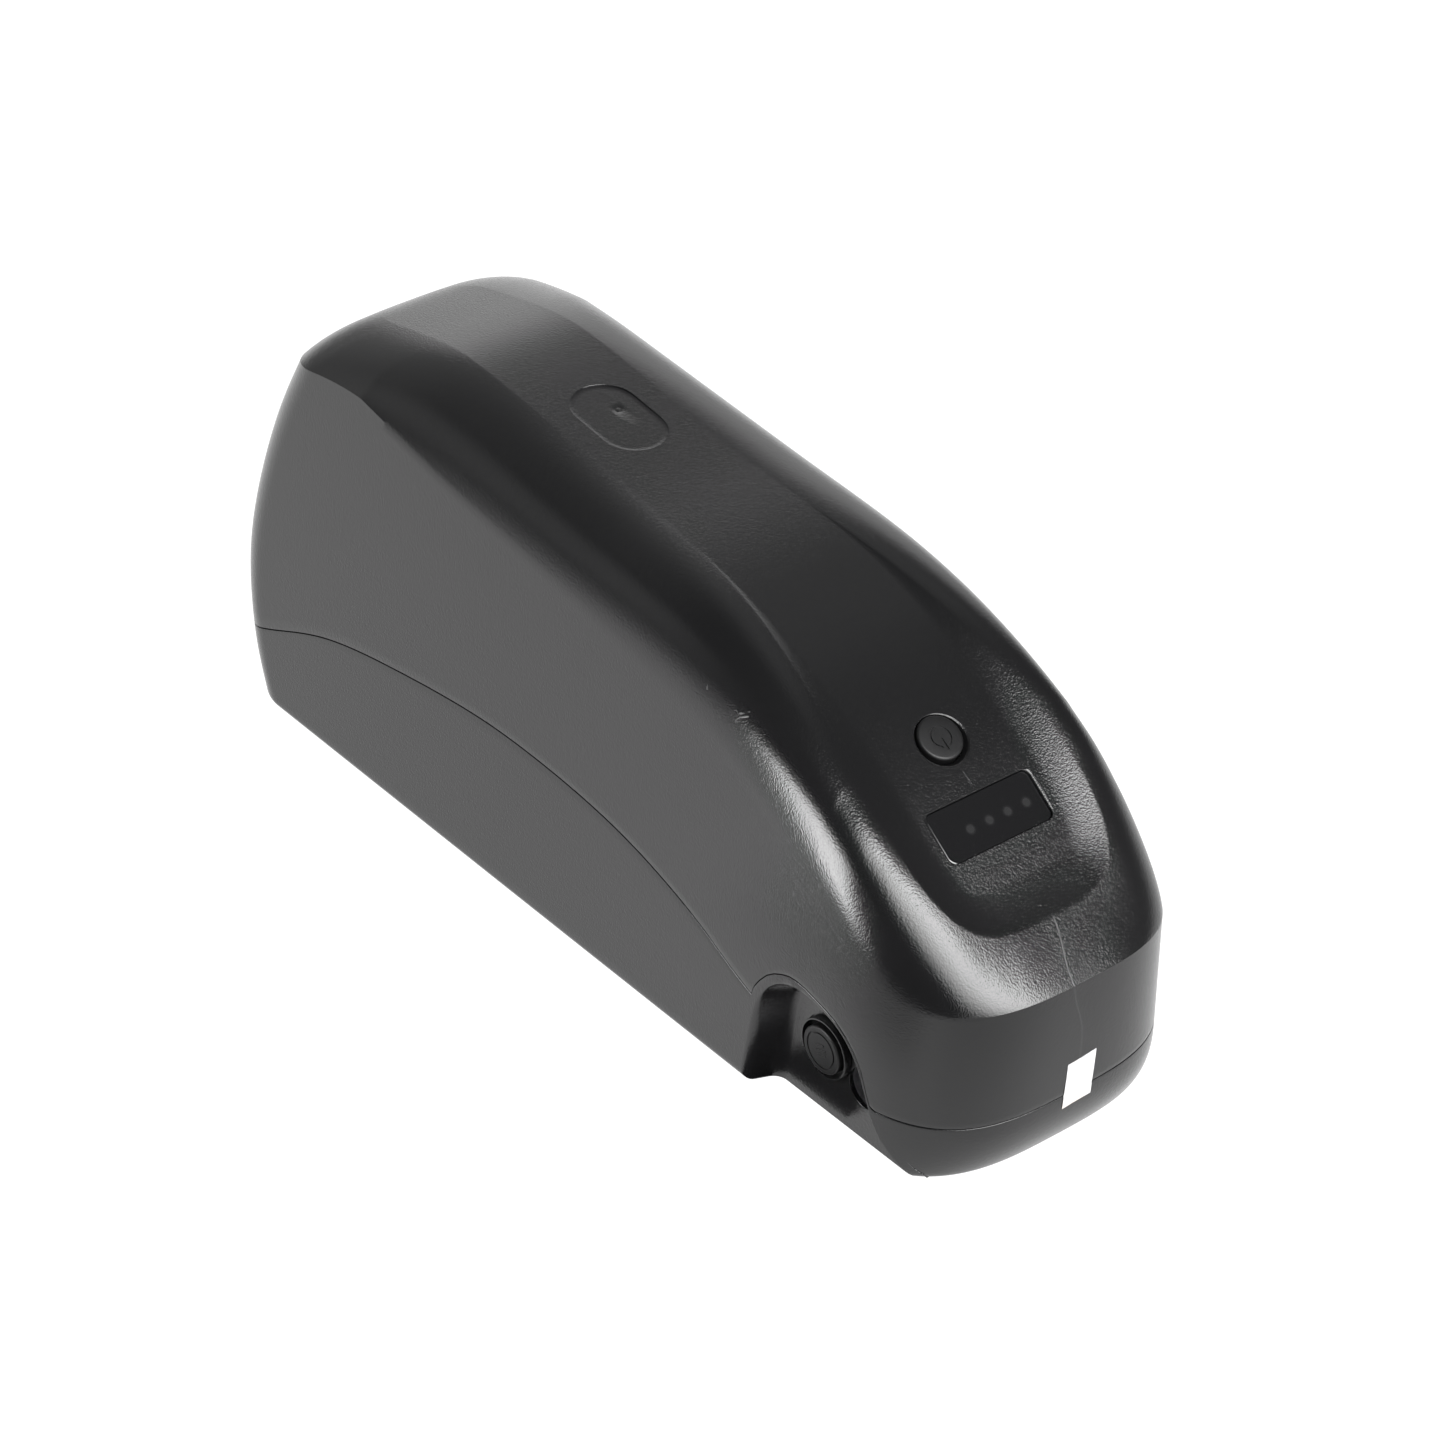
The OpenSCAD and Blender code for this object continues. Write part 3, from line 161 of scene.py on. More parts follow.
# %% [markdown]
# Both shells share one skin. It is a net of columns, from the middle of the back round to the tip
# of the nose, and of rings from the base to the centre line of the top. The columns are close
# together round the nose and the notch, where the light shows every facet.

# %% Columns of the skin
BACK_R, NOSE_X, NOSE_POWER, TONGUE_POWER = 14.0, 98.95, 3.134, 3.83
TONGUE_X, TONGUE_TIP, TONGUE_BACK, TONGUE_BACK_L = 96.35, 135.1, -117.0, 14.0
TONGUE_DEPTH = 1.9


def column_table():
    """Kind, share and x of each column: 0 back wall, 1 back corner, 2 side, 3 nose."""
    table = [(0, f, 0.0) for f in np.linspace(0, 1, 13)[:-1]]
    table += [(1, f, 0.0) for f in np.linspace(0, 1, 19)[:-1]]
    side = np.concatenate([np.linspace(0, 1, 131)[:-1] * (76 + 125) - 125, np.arange(76, NOSE_X, 0.42)])
    table += [(2, 0.0, x) for x in side]
    phi = np.linspace(0, 1, 6001)
    s = np.concatenate([phi[:-1] * 0.5, 1 - 0.5 * (1 - phi) ** 4])
    x, y = s * 49, 43 * (1 - s ** NOSE_POWER).clip(0) ** (1 / NOSE_POWER)
    run = np.concatenate([[0], np.cumsum(np.hypot(np.diff(x), np.diff(y)))])
    table += [(3, f, 0.0) for f in np.interp(np.linspace(0, run[-1], 120), run, s)]
    return np.array(table)


COLUMNS = column_table()
KIND, SHARE, SIDE_X = COLUMNS.T
HALF_N = len(COLUMNS)


def plan_point(z, inset):
    """x and y of every column at the heights z, moved inwards."""
    back = back_x(z)
    nose = HALF_L - 2.0 * np.clip(1 - z / 51.5, 0, 1) - 4.78 * np.clip(1 - z / 16.34, 0, 1) ** 2.33
    turn = SHARE * math.pi / 2
    shift = (back - back_x(30.0)) * (1 - smooth(SIDE_X, -125, -60))
    x_side = SIDE_X + np.where(KIND == 2, shift, 0)
    x_side = np.where(KIND == 2, x_side + (back_x(30.0) + BACK_R + 125) * (1 - smooth(SIDE_X, -125, -60)), 0)
    x_nose = NOSE_X + (nose - inset - NOSE_X) * SHARE
    x_mid = np.choose(KIND.astype(int), [back, back + BACK_R, x_side, x_nose])
    wall = side_y(x_mid, z)
    x = np.choose(KIND.astype(int), [
        back + inset, back + BACK_R - (BACK_R - inset) * np.cos(turn), x_side, x_nose])
    y = np.choose(KIND.astype(int), [
        (wall - BACK_R) * SHARE, wall - BACK_R + (BACK_R - inset) * np.sin(turn), wall - inset,
        (wall - inset) * (1 - np.clip(SHARE, 0, 1) ** NOSE_POWER).clip(0) ** (1 / NOSE_POWER)])
    return x, -y


def find_crease():
    z = np.full(HALF_N, CREASE_BACK_Z)
    for _ in range(6):
        x, _y = plan_point(z, 0)
        z = crease_z(x, float(back_x(CREASE_BACK_Z)))
    return z


CREASE = find_crease()
CREASE_X = plan_point(CREASE, 0)[0]
START_X = float(back_x(CREASE_BACK_Z)) + BACK_R
# Share of the way round, as the shoulder's form is given by it
ROUND = np.choose(KIND.astype(int), [
    0.08 * SHARE, 0.08 + 0.10 * SHARE,
    0.18 + 0.42 * np.clip((CREASE_X - START_X) / (NOSE_X - START_X), 0, 1),
    0.6 + 0.4 * np.arcsin(np.clip(SHARE, 0, 1) ** (NOSE_POWER / 2)) / (math.pi / 2)])
print("columns:", 2 * HALF_N - 1)

# %% [markdown]
# The shoulder runs from the upper edge of the side wall to the edge of the flat strip as one
# quadratic curve. How full it bulges changes on the way round the case. Inside the crisp edge of
# the tongue the floor is dished, like a shallow tray.

# %% Rings of the skin
BULGE_AT = (0, 0.08, 0.22, 0.40, 0.60, 0.65, 0.70, 0.755, 0.80, 0.844, 0.89, 0.936, 1.0)
BULGE_RUN = (0.42, 0.42, 0.27, 0.13, 0.0, 0.05, 0.10, 0.13, 0.14, 0.14, 0.12, 0.12, 0.12)
BULGE_RISE = (0.76, 0.76, 0.84, 1.065, 1.09, 0.94, 0.80, 0.67, 0.56, 0.42, 0.26, 0.18, 0.16)


def soft_table(at, values, x):
    """Curve through a table without overshoot between equal values."""
    at, values = np.array(at, float), np.array(values, float)
    k = np.clip(np.searchsorted(at, x) - 1, 0, len(at) - 2)
    rise = np.diff(values) / np.diff(at)
    slope = np.zeros(len(at))
    for i in range(1, len(at) - 1):
        a, b = rise[i - 1], rise[i]
        slope[i] = 0 if a * b <= 0 else 2 * a * b / (a + b)
    h = at[k + 1] - at[k]
    u = (x - at[k]) / h
    return ((2 * u ** 3 - 3 * u ** 2 + 1) * values[k] + (u ** 3 - 2 * u ** 2 + u) * h * slope[k]
            + (3 * u ** 2 - 2 * u ** 3) * values[k + 1] + (u ** 3 - u ** 2) * h * slope[k + 1])


def dip(x):
    return TONGUE_DEPTH * smooth(x, 22.5, 112.5)


def strip_edge():
    """Edge of the strip and tongue for every column."""
    turn = np.clip(ROUND / 0.18, 0, 1) * math.pi / 2
    start = TONGUE_BACK + TONGUE_BACK_L
    x = np.where(ROUND < 0.18, TONGUE_BACK + TONGUE_BACK_L * (1 - np.cos(turn)),
                 start + (TONGUE_X - start) * (ROUND - 0.18) / 0.42)
    y = np.where(ROUND < 0.18, strip_w(start) * np.sin(turn), strip_w(x))
    s = np.clip(SHARE, 0, 1)
    x = np.where(KIND == 3, TONGUE_X + (TONGUE_TIP - TONGUE_X) * s ** (NOSE_POWER / TONGUE_POWER), x)
    y = np.where(KIND == 3, strip_w(x) * (1 - s ** NOSE_POWER).clip(0) ** (1 / TONGUE_POWER), y)
    return x, -y


RUN, RISE = soft_table(BULGE_AT, BULGE_RUN, ROUND), soft_table(BULGE_AT, BULGE_RISE, ROUND)


def wall_ring(z, inset=0.0):
    x, y = plan_point(z, inset)
    return np.stack([x, y, z + 0 * x], 1)


def shoulder_ring(v, inset=0.0):
    p = wall_ring(CREASE - 0.35 * inset, inset)
    qx, qy = strip_edge()
    if inset:
        front = KIND == 3
        qx = np.where(front, TONGUE_X + (qx - TONGUE_X) * (1 - inset / 2 / (TONGUE_TIP - TONGUE_X)), qx)
    q = np.stack([qx, qy, top_z(qx) + (-1.05 * inset if inset else dip(qx))], 1)
    c = p + (q - p) * np.stack([RUN, RUN, RISE], 1)
    return (1 - v) ** 2 * p + 2 * v * (1 - v) * c + v * v * q


def tongue_ring(turn):
    """Dished ramp from the tongue's crisp edge, turn 0, down to its flat floor, turn 1."""
    qx, qy = strip_edge()
    depth = dip(qx)
    width = 5.0 * depth + 0.15
    lead = np.stack([np.gradient(qx), np.gradient(qy)], 1)
    lead /= np.linalg.norm(lead, axis=1)[:, None] + 1e-9
    inward = np.stack([-lead[:, 1], lead[:, 0]], 1)
    inward[0], inward[-1] = (1, 0), (-1, 0)
    padded = np.concatenate([inward[:1].repeat(6, 0), inward, inward[-1:].repeat(6, 0)])
    inward = np.stack([np.convolve(padded[:, k], np.ones(13) / 13, "valid") for k in (0, 1)], 1)
    d = width * turn
    x, y = qx + inward[:, 0] * d, np.minimum(qy + inward[:, 1] * d, 0)
    return np.stack([x, y, top_z(x) + depth * (1 - turn) ** 1.5], 1)


def floor_ring(share, inset=0.0):
    """Lines of the flat floor between its edge and the centre line."""
    edge = tongue_ring(1.0) if not inset else shoulder_ring(1.0, inset)
    ring = edge.copy()
    ring[:, 1] *= 1 - share
    ring[:, 2] = top_z(ring[:, 0]) - 1.05 * inset
    return ring


# %% [markdown]
# The parting line climbs along the sides like a long wave and drops to the nose. On the notch
# side it goes round the arch, where the lower shell stands up as a thin lip.

# %% Parting line
LIP = [(79.0, 26.5), (79.6, 28.7), (81.4, 31.6), (84.0, 34.7), (86.7, 36.8), (89.4, 38.2), (92.2, 39.2),
       (95.0, 39.45), (98.0, 39.2), (101.5, 38.5), (105.5, 37.6), (109.5, 36.2), (113.2, 33.8),
       (116.4, 30.6), (118.9, 26.3), (120.6, 21.6), (121.9, 18.4), (123.4, 17.7), (148.0, 17.7)]
FAR_SEAM = [(79.0, 26.4), (86, 24.6), (93, 22.8), (100, 21.1), (108, 19.4), (116, 18.2), (124, 17.7),
            (148, 17.7)]
SEAM_GAP = 0.22


def seam_z(x, far):
    side = HEIGHT * spline(SEAM_SHARES, np.minimum(x, 79) / HALF_L)
    line = FAR_SEAM if far else LIP
    xs, zs = np.array(line).T
    return np.where(x <= 79, side, np.interp(x, xs, zs))


def seam_heights(far):
    x = plan_point(np.full(HALF_N, 26.0), 0)[0]
    for _ in range(3):
        z = seam_z(x, far)
        x = plan_point(z, 0)[0]
    return seam_z(x, far)


SEAM = {False: seam_heights(False), True: seam_heights(True)}
print("parting line from", round(float(SEAM[False].min()), 1), "to", round(float(SEAM[False].max()), 1), "mm")

# %% [markdown]
# A grid primitive is the sheet that becomes each shell: its corners are moved onto the net, its
# two side edges meet and are merged, and its first and last rows close along the centre line.

# %% From a grid to a closed moulding


def only(*pieces):
    """Selects these pieces and nothing else, the first one active."""
    bpy.ops.object.select_all(action="DESELECT")
    for piece in pieces:
        piece.select_set(True)
    bpy.context.view_layer.objects.active = pieces[0]
    return pieces[0]


def edit(piece, *steps):
    """Runs edit-mode steps on the whole mesh of one piece."""
    only(piece)
    bpy.ops.object.mode_set(mode="EDIT")
    bpy.ops.mesh.select_all(action="SELECT")
    for step in steps:
        step()
    bpy.ops.object.mode_set(mode="OBJECT")
    return piece


def outwards():
    bpy.ops.mesh.normals_make_consistent(inside=False)


def merged(piece, near=2e-6):
    return edit(piece, lambda: bpy.ops.mesh.remove_doubles(threshold=near),
                lambda: bpy.ops.mesh.dissolve_degenerate(threshold=near), outwards)


def grid_piece(name, net):
    """A grid primitive with its corners on net[row][column], given in millimetres."""
    rows, cols = net.shape[:2]
    bpy.ops.object.select_all(action="DESELECT")
    bpy.ops.mesh.primitive_grid_add(x_subdivisions=cols - 1, y_subdivisions=rows - 1, size=2)
    piece = bpy.context.object
    piece.name = piece.data.name = name
    place = np.empty(len(piece.data.vertices) * 3)
    piece.data.vertices.foreach_get("co", place)
    place = place.reshape(-1, 3)
    col = np.rint((place[:, 0] + 1) / 2 * (cols - 1)).astype(int)
    row = np.rint((place[:, 1] + 1) / 2 * (rows - 1)).astype(int)
    piece.data.vertices.foreach_set("co", (net[row, col] * MM).ravel())
    piece.data.update()
    return merged(piece)


def all_round(near, far=None):
    """One full ring: the near half, then the far half mirrored and read backwards."""
    far = near if far is None else far
    return np.concatenate([near, far[::-1][1:] * (1, -1, 1)])


def smooth_by(piece, degrees=22):
    only(piece)
    bpy.ops.object.shade_smooth_by_angle(angle=math.radians(degrees))
    return piece


print("helpers ready")

# %% [markdown]
# Upper shell: its rings start inside at the ceiling, go down to the joint, turn round the small
# radius there and climb outside over wall, shoulder and tongue back to the centre line. The
# result is a closed moulding with an even wall, as it would leave the tool.

# %% Upper shell
WALL, EDGE_R, FOOT_R = 2.5, 0.22, 2.0


def seam_ring(f, inset=0.0, lift=0.0, foot=None, gap=0.0):
    """Ring at share f of the way from the parting line to the wall's upper edge, or to a foot."""
    halves = []
    for far in (False, True):
        seam = SEAM[far] + gap
        end = (CREASE - 0.35 * inset) if foot is None else np.full(HALF_N, foot)
        start = seam + lift if foot is None else seam - lift
        halves.append(wall_ring(start + (end - start) * f, inset))
    return all_round(*halves)


def upper_rings():
    rings = [all_round(floor_ring(f, WALL)) for f in (1, 0.6, 0.25)]
    rings += [all_round(shoulder_ring(v, WALL)) for v in np.linspace(1, 0, 9)]
    rings += [seam_ring(f, WALL, gap=SEAM_GAP) for f in (0.75, 0.5, 0.25, 0)]
    for turn in np.linspace(0, math.pi / 2, 4):
        rings.append(seam_ring(0, EDGE_R * (1 - math.sin(turn)), EDGE_R * (1 - math.cos(turn)), gap=SEAM_GAP))
    rings += [seam_ring(f, 0, EDGE_R, gap=SEAM_GAP) for f in np.linspace(0, 1, 26)[1:]]
    rings += [all_round(shoulder_ring(v)) for v in 1 - (1 - np.linspace(0, 1, 30)[1:-1]) ** 1.15]
    rings += [all_round(tongue_ring(t)) for t in np.linspace(0, 1, 13)]
    rings += [all_round(floor_ring(f)) for f in np.linspace(0, 1, 13)[1:]]
    return np.array(rings)


upper_shell = grid_piece("upper_shell_skin", upper_rings())
print("upper shell:", len(upper_shell.data.polygons), "faces")

# %% [markdown]
# Lower shell: a tray made in the same way, from the middle of its underside out over the rounded
# foot, up to the joint and back down inside.

# %% Lower shell


def lower_rings():
    flat = lambda z, inset: all_round(wall_ring(np.full(HALF_N, float(z)), inset))

    def across(z, share, inset):
        return flat(z, inset) * (1 - 0.3 * share, 1 - share, 1)

    quarter = np.linspace(0, math.pi / 2, 6)
    rings = [across(0, f, FOOT_R) for f in (1, 0.75, 0.5, 0.25)]
    rings += [flat(FOOT_R * (1 - math.cos(t)), FOOT_R * (1 - math.sin(t))) for t in quarter]
    rings += [seam_ring(1 - f, 0, EDGE_R, FOOT_R) for f in np.linspace(0, 1, 18)[1:]]
    rings += [seam_ring(0, EDGE_R * (1 - math.cos(t)), EDGE_R * (1 - math.sin(t)), FOOT_R)
              for t in quarter[1:]]
    rings += [seam_ring(0, WALL, 0, WALL), seam_ring(0.5, WALL, 0, WALL), flat(WALL, WALL)]
    rings += [across(WALL, f, WALL) for f in (0.5, 1)]
    return np.array(rings)


lower_shell = grid_piece("lower_shell_skin", lower_rings())
print("lower shell:", len(lower_shell.data.polygons), "faces")

# %% [markdown]
# Holes and recesses are cut as in a real mould: a core of the hole's form is made and taken away
# with a Boolean modifier. A core is a cylinder, a rounded block or a loft, and it is deleted
# once it has done its work.

# %% Cutting cores


def apply(piece, kind, **settings):
    modifier = piece.modifiers.new(kind.title(), kind)
    for key, value in settings.items():
        setattr(modifier, key, value)
    only(piece)
    bpy.ops.object.modifier_apply(modifier=modifier.name)
    return piece


def combine(piece, core, operation="DIFFERENCE"):
    apply(piece, "BOOLEAN", operation=operation, solver="MANIFOLD", object=core)
    bpy.data.objects.remove(core)
    return piece


def placed(piece, matrix):
    """Moves the mesh, not the object, by a matrix in millimetres."""
    piece.data.transform(matrix)
    piece.data.transform(Matrix.Scale(MM, 4))
    piece.data.update()
    return merged(piece)


def tube(name, rings, matrix=Matrix(), steps=64):
    """A turned piece: (radius, height) rings about +Z. Both ends are flat discs, and a ring just
    inside their rims keeps the shading of the disc flat."""
    angle = np.linspace(0, 2 * math.pi, steps + 1)
    (r0, z0), (r1, z1) = rings[0], rings[-1]
    profile = [(0, z0), (0.93 * r0, z0)] + list(rings) + [(0.93 * r1, z1), (0, z1)]
    net = np.array([[(r * math.cos(a), r * math.sin(a), z) for a in angle] for r, z in profile])
    piece = grid_piece(name, net)
    piece.data.transform(Matrix.Scale(1 / MM, 4))
    return placed(piece, matrix)


def rounded(l, w, r, steps=8):
    """Outline of a rounded rectangle, as x and y."""
    points = []
    for k, (sx, sy) in enumerate(((1, 1), (-1, 1), (-1, -1), (1, -1))):
        for a in np.linspace(k * math.pi / 2, (k + 1) * math.pi / 2, steps + 1):
            points.append((sx * (l / 2 - r) + r * math.cos(a), sy * (w / 2 - r) + r * math.sin(a)))
    return np.array(points + points[:1])


def block(name, l, w, r, levels, matrix=Matrix()):
    """A rounded block of (height, growth) levels, closed at both ends."""
    rings = []
    for z, grow in levels:
        edge = rounded(l + 2 * grow, w + 2 * grow, max(r + grow, 0.05))
        rings.append(np.column_stack([edge, np.full(len(edge), z)]))
    rings = ([rings[0] * (s, s, 1) for s in (0, 0.97)] + rings
             + [rings[-1] * (s, s, 1) for s in (0.97, 0)])
    piece = grid_piece(name, np.array(rings))
    piece.data.transform(Matrix.Scale(1 / MM, 4))
    return placed(piece, matrix)


def on_tongue(x):
    """Frame on the top surface at x, its z axis standing on the surface."""
    return Matrix.Translation((x, 0, float(top_z(x)))) @ Matrix.Rotation(top_tilt(x), 4, "Y")


def sideways(x, y, z):
    """Frame on the notch side whose z axis points out of the case, towards -Y, and x stays x."""
    return Matrix.Translation((x, y, z)) @ Matrix.Rotation(math.pi / 2, 4, "X")


def standing(x, y):
    """Frame on the base at x and y."""
    return Matrix.Translation((x, y, 0))


print("tongue leans", round(math.degrees(top_tilt(95.6)), 1), "degrees at the button")

# %% [markdown]
# The notch is one loft. Its mouth is a drawn arch, its floor edge lies further in, and between
# them runs a wall with a rounded edge outside and a hollow fillet at the floor. The end wall
# near the middle of the case leans and rolls over widely, the rest is nearly straight.

# %% Notch
NOTCH_Y = -36.6
NOTCH_MIDDLE = (102.0, 0, 12.0)
MOUTH = [(78.2, -7), (78.5, -2), (79.0, 4), (79.6, 10), (80.4, 17), (81.2, 24), (83.8, 30.3), (89.1, 35.3),
         (96, 37.45), (103.8, 36.75), (110, 34.7), (116.1, 29.2), (120.8, 19.2), (124.4, 11.8), (129.3, 5.2),
         (133.6, -0.8), (139, -7.5)]
FLOOR_EDGE = [(80.6, -7), (81.6, -2), (82.9, 4), (84.2, 10), (85.7, 17), (87.2, 24), (88.7, 30.5),
              (91.4, 34.7),
              (96.6, 36.4), (103.6, 35.7), (109.4, 33.7), (115.2, 28.6), (119.9, 18.8), (123.6, 11.4),
              (128.6, 4.7), (133.1, -1.2), (138.6, -7.9)]
ROLL = [6.0, 5.6, 5.0, 4.4, 3.4, 2.0, 0.9, 0.6, 0.5, 0.5, 0.45, 0.4, 0.35, 0.35, 0.35, 0.35, 0.35]
HOLLOW = [4.2, 4.2, 3.9, 3.7, 3.5, 3.4, 3.2, 3.0, 2.6, 2.2, 2.0, 1.8, 1.5, 1.2, 0.6, 0.4, 0.4]
BEHIND = [2.5, 2.5, 2.5, 2.5, 2.5, 2.0, 1.9, 1.9, 1.7, 1.3, 1.0, 0.7, 0.6, 2.0, 2.5, 2.5, 2.5]


def along(count=110):
    """Even shares of the way along the mouth, and the curves of the notch read there."""
    mouth, inner = np.array(MOUTH), np.array(FLOOR_EDGE)
    run = np.concatenate([[0], np.cumsum(np.hypot(*np.diff(mouth, axis=0).T))])
    at = np.linspace(0, run[-1], count)
    read = lambda values: spline(list(zip(run, values)), at)
    mouth = np.column_stack([read(mouth[:, 0]), read(mouth[:, 1])])
    inner = np.column_stack([read(inner[:, 0]), read(inner[:, 1])])
    return mouth, inner, np.interp(at, run, ROLL), np.interp(at, run, HOLLOW), np.interp(at, run, BEHIND)


def skin_y(x, z):
    """Outer face of the notch side at a place of the side view."""
    ys = []
    for xi, zi in zip(x, np.maximum(z, 0)):
        cols, y = plan_point(np.full(HALF_N, zi), 0)
        ys.append(np.interp(xi, cols[KIND > 0], y[KIND > 0]))
    return np.array(ys)


def notch_core():
    mouth, inner, roll, hollow, _ = along()
    skin = skin_y(*mouth.T)
    lean, depth = inner - mouth, NOTCH_Y - skin
    depth = np.maximum(depth, 0.8)
    reach = np.hypot(*lean.T)
    way = lean / reach[:, None]
    phi = np.arctan2(reach, depth)
    roll, hollow = np.minimum(roll, 0.45 * depth), np.minimum(hollow, 0.5 * depth)
    t_out, t_in = roll * np.tan((math.pi / 2 - phi) / 2), hollow * np.tan((math.pi / 2 - phi) / 2)

    def ring(offset, y):
        xz = mouth + way * offset[:, None]
        line = np.column_stack([xz[:, 0], y + 0 * xz[:, 0], xz[:, 1]])
        return np.concatenate([line, line[:1]])

    start = math.radians(12)
    first = (-t_out + roll * math.sin(start), skin + roll * (1 - math.cos(start)))
    rings = [ring(first[0] - 10 * math.cos(start), -60 + 0 * skin),
             ring(first[0] - 10 * math.cos(start), first[1] - 10 * math.sin(start))]
    for share in np.linspace(0, 1, 7):
        a = start + (math.pi / 2 - phi - start) * share
        rings.append(ring(-t_out + roll * np.sin(a), skin + roll * (1 - np.cos(a))))
    for share in np.linspace(0, 1, 7):
        a = (math.pi / 2 - phi) * (1 - share)
        rings.append(ring(reach + t_in - hollow * np.sin(a), NOTCH_Y - hollow * (1 - np.cos(a))))
    ends = [np.tile(np.add(NOTCH_MIDDLE, (0, y, 0)), (len(rings[0]), 1)) for y in (-60, NOTCH_Y)]
    return grid_piece("notch_core", np.array([ends[0]] + rings + [ends[1]]))


def notch_back():
    """Walls behind the notch, joined to the shell before the notch is cut."""
    mouth, inner, _, _, behind = along(80)
    lead = np.gradient(mouth, axis=0)
    out = np.column_stack([-lead[:, 1], lead[:, 0]]) / np.hypot(*lead.T)[:, None]
    skin = skin_y(*mouth.T)

    def ring(base, grow, y):
        xz = base + out * np.reshape(grow, (-1, 1))
        line = np.column_stack([np.minimum(xz[:, 0], 134.5), y + 0 * skin, np.maximum(xz[:, 1], 0.8)])
        return np.concatenate([line, line[:1]])

    deep = NOTCH_Y + WALL
    full = np.full(len(skin), WALL)
    rings = [ring(mouth, behind, np.minimum(skin + 1.0, deep - 0.6)),
             ring(mouth, behind, np.minimum(skin + 2.7, deep - 0.4)),
             ring(mouth, full, np.minimum(skin + 2.7, deep - 0.2)), ring(inner, full, deep)]
    first = float(rings[0][:, 1].mean())
    ends = [np.tile(np.add(NOTCH_MIDDLE, (0, y, 0)), (len(rings[0]), 1)) for y in (first, deep)]
    return grid_piece("notch_back", np.array([ends[0]] + rings + [ends[1]]))


combine(lower_shell, notch_back(), "UNION")
combine(lower_shell, notch_core())
merged(lower_shell)
print("lower shell with its notch:", len(lower_shell.data.polygons), "faces")

# %% [markdown]
# The lower shell gets its small openings: the sunken seat of the port with a finger pocket beside
# it, the lock hole, the wells of the case screws and the opening over the discharge connector.

# %% Openings of the lower shell
PORT = (100.196, NOTCH_Y, 20.2216)
LOCK = (113.396, NOTCH_Y, 15.4216)
SCREWS = [(x, s * y) for x, y in ((-132.2, 22.0), (71.5, 37.0), (132.0, 20.0)) for s in (-1, 1)]
PLUG = (104.0, 3.015)

for x, y in SCREWS:
    combine(lower_shell, tube("boss", [(4.8, 1.2), (4.8, 8.8), (4.2, 10.8)], standing(x, y), 40), "UNION")
for x, y in SCREWS:
    well = [(3.35, -1.0), (3.35, 0.0), (3.05, 0.3), (3.05, 8.0), (1.8, 8.0), (1.8, 12.0)]
    combine(lower_shell, tube("well", well, standing(x, y), 40))

combine(lower_shell, tube("wall_behind_port", [(8.4, -5.5), (8.4, -1.0)], sideways(*PORT)), "UNION")
pocket = sideways(PORT[0] + 0.9, NOTCH_Y, PORT[2] + 2.3)
combine(lower_shell, tube("pocket", [(6.9, 9.0), (6.9, 0.35), (6.55, 0.0), (6.4, -2.4), (6.1, -2.7)], pocket))
seat = [(8.75, 4.0), (8.75, 0.25), (8.5, 0.0), (8.45, -0.55)]
combine(lower_shell, tube("seat", seat, sideways(*PORT)))
jack = [(6.8, 4.0), (6.8, -1.0), (5.95, -1.0), (5.95, -9.0)]
combine(lower_shell, tube("jack_hole", jack, sideways(*PORT)))
lock = [(5.85, 3.0), (5.85, 0.1), (5.7, -0.05), (5.7, -1.25), (7.0, -1.25), (7.0, -8.0)]
combine(lower_shell, tube("lock_hole", lock, sideways(*LOCK)))
mouth = [(-1.0, 0.35), (0.0, 0.35), (0.35, 0.0), (4.0, 0.0)]
combine(lower_shell, block("plug_hole", 30, 18, 1.5, mouth, standing(*PLUG)))
smooth_by(lower_shell)
print("lower shell:", len(lower_shell.data.polygons), "faces")

# %% [markdown]
# The upper shell has the holes of the button and of the charge window, and on the hump a blank
# racetrack recess, 0.4 mm deep, with the small dimple that the moulding gate leaves. The button
# sits in a dished collar that is wider on the side towards the nose.

# %% Openings of the upper shell
BUTTON_X, BUTTON_R = 94.572, 6.0
WINDOW_X, WINDOW = 112.924, (13.4, 32.0, 2.0)
EMBLEM_X, EMBLEM = -27.9, (29.0, 18.0)


def collar_core():
    """Levels of the collar: radius, shift towards the nose, height."""
    levels = [(8.0, 0.75, 3.0), (7.45, 0.75, 0.05), (7.2, 0.75, -0.06), (6.9, 0.66, -0.22), (6.75, 0.5, -0.5),
              (6.45, 0.1, -1.5), (6.4, 0, -1.7), (6.4, 0, -6)]
    angle = np.linspace(0, 2 * math.pi, 97)
    across, along_y = np.cos(angle), np.sin(angle)
    rings = [np.column_stack([dx + r * across, r * along_y, 0 * angle + z]) for r, dx, z in levels]
    rings = [rings[0] * (0, 0, 1)] + rings + [rings[-1] * (0, 0, 1)]
    piece = grid_piece("collar", np.array(rings))
    piece.data.transform(Matrix.Scale(1 / MM, 4))
    return placed(piece, on_tongue(BUTTON_X))


combine(upper_shell, collar_core())
l, w, r = WINDOW
window = [(4, 0.48), (0.0, 0.46), (-0.1, 0.2), (-0.25, 0.12), (-0.5, 0.1), (-6, 0.1)]
combine(upper_shell, block("window_hole", l, w, r, window, on_tongue(WINDOW_X)))
l, w = EMBLEM
recess = [(2, 0.12), (0.05, 0.12), (-0.12, 0.0), (-0.34, -0.05), (-0.4, -0.2)]
recess += [(-0.4, -inwards) for inwards in (1.5, 3, 4.5, 6, 7.5)]
combine(upper_shell, block("recess", l, w, w / 2 - 0.01, recess, on_tongue(EMBLEM_X)))
dimple = [(2.6, 1.0), (2.2, -0.38), (1.5, -0.5), (0.8, -0.62), (0.75, -0.5), (0.3, -0.45)]
gate = on_tongue(EMBLEM_X - 3.0) @ Matrix.Translation((0, 2.3, 0))
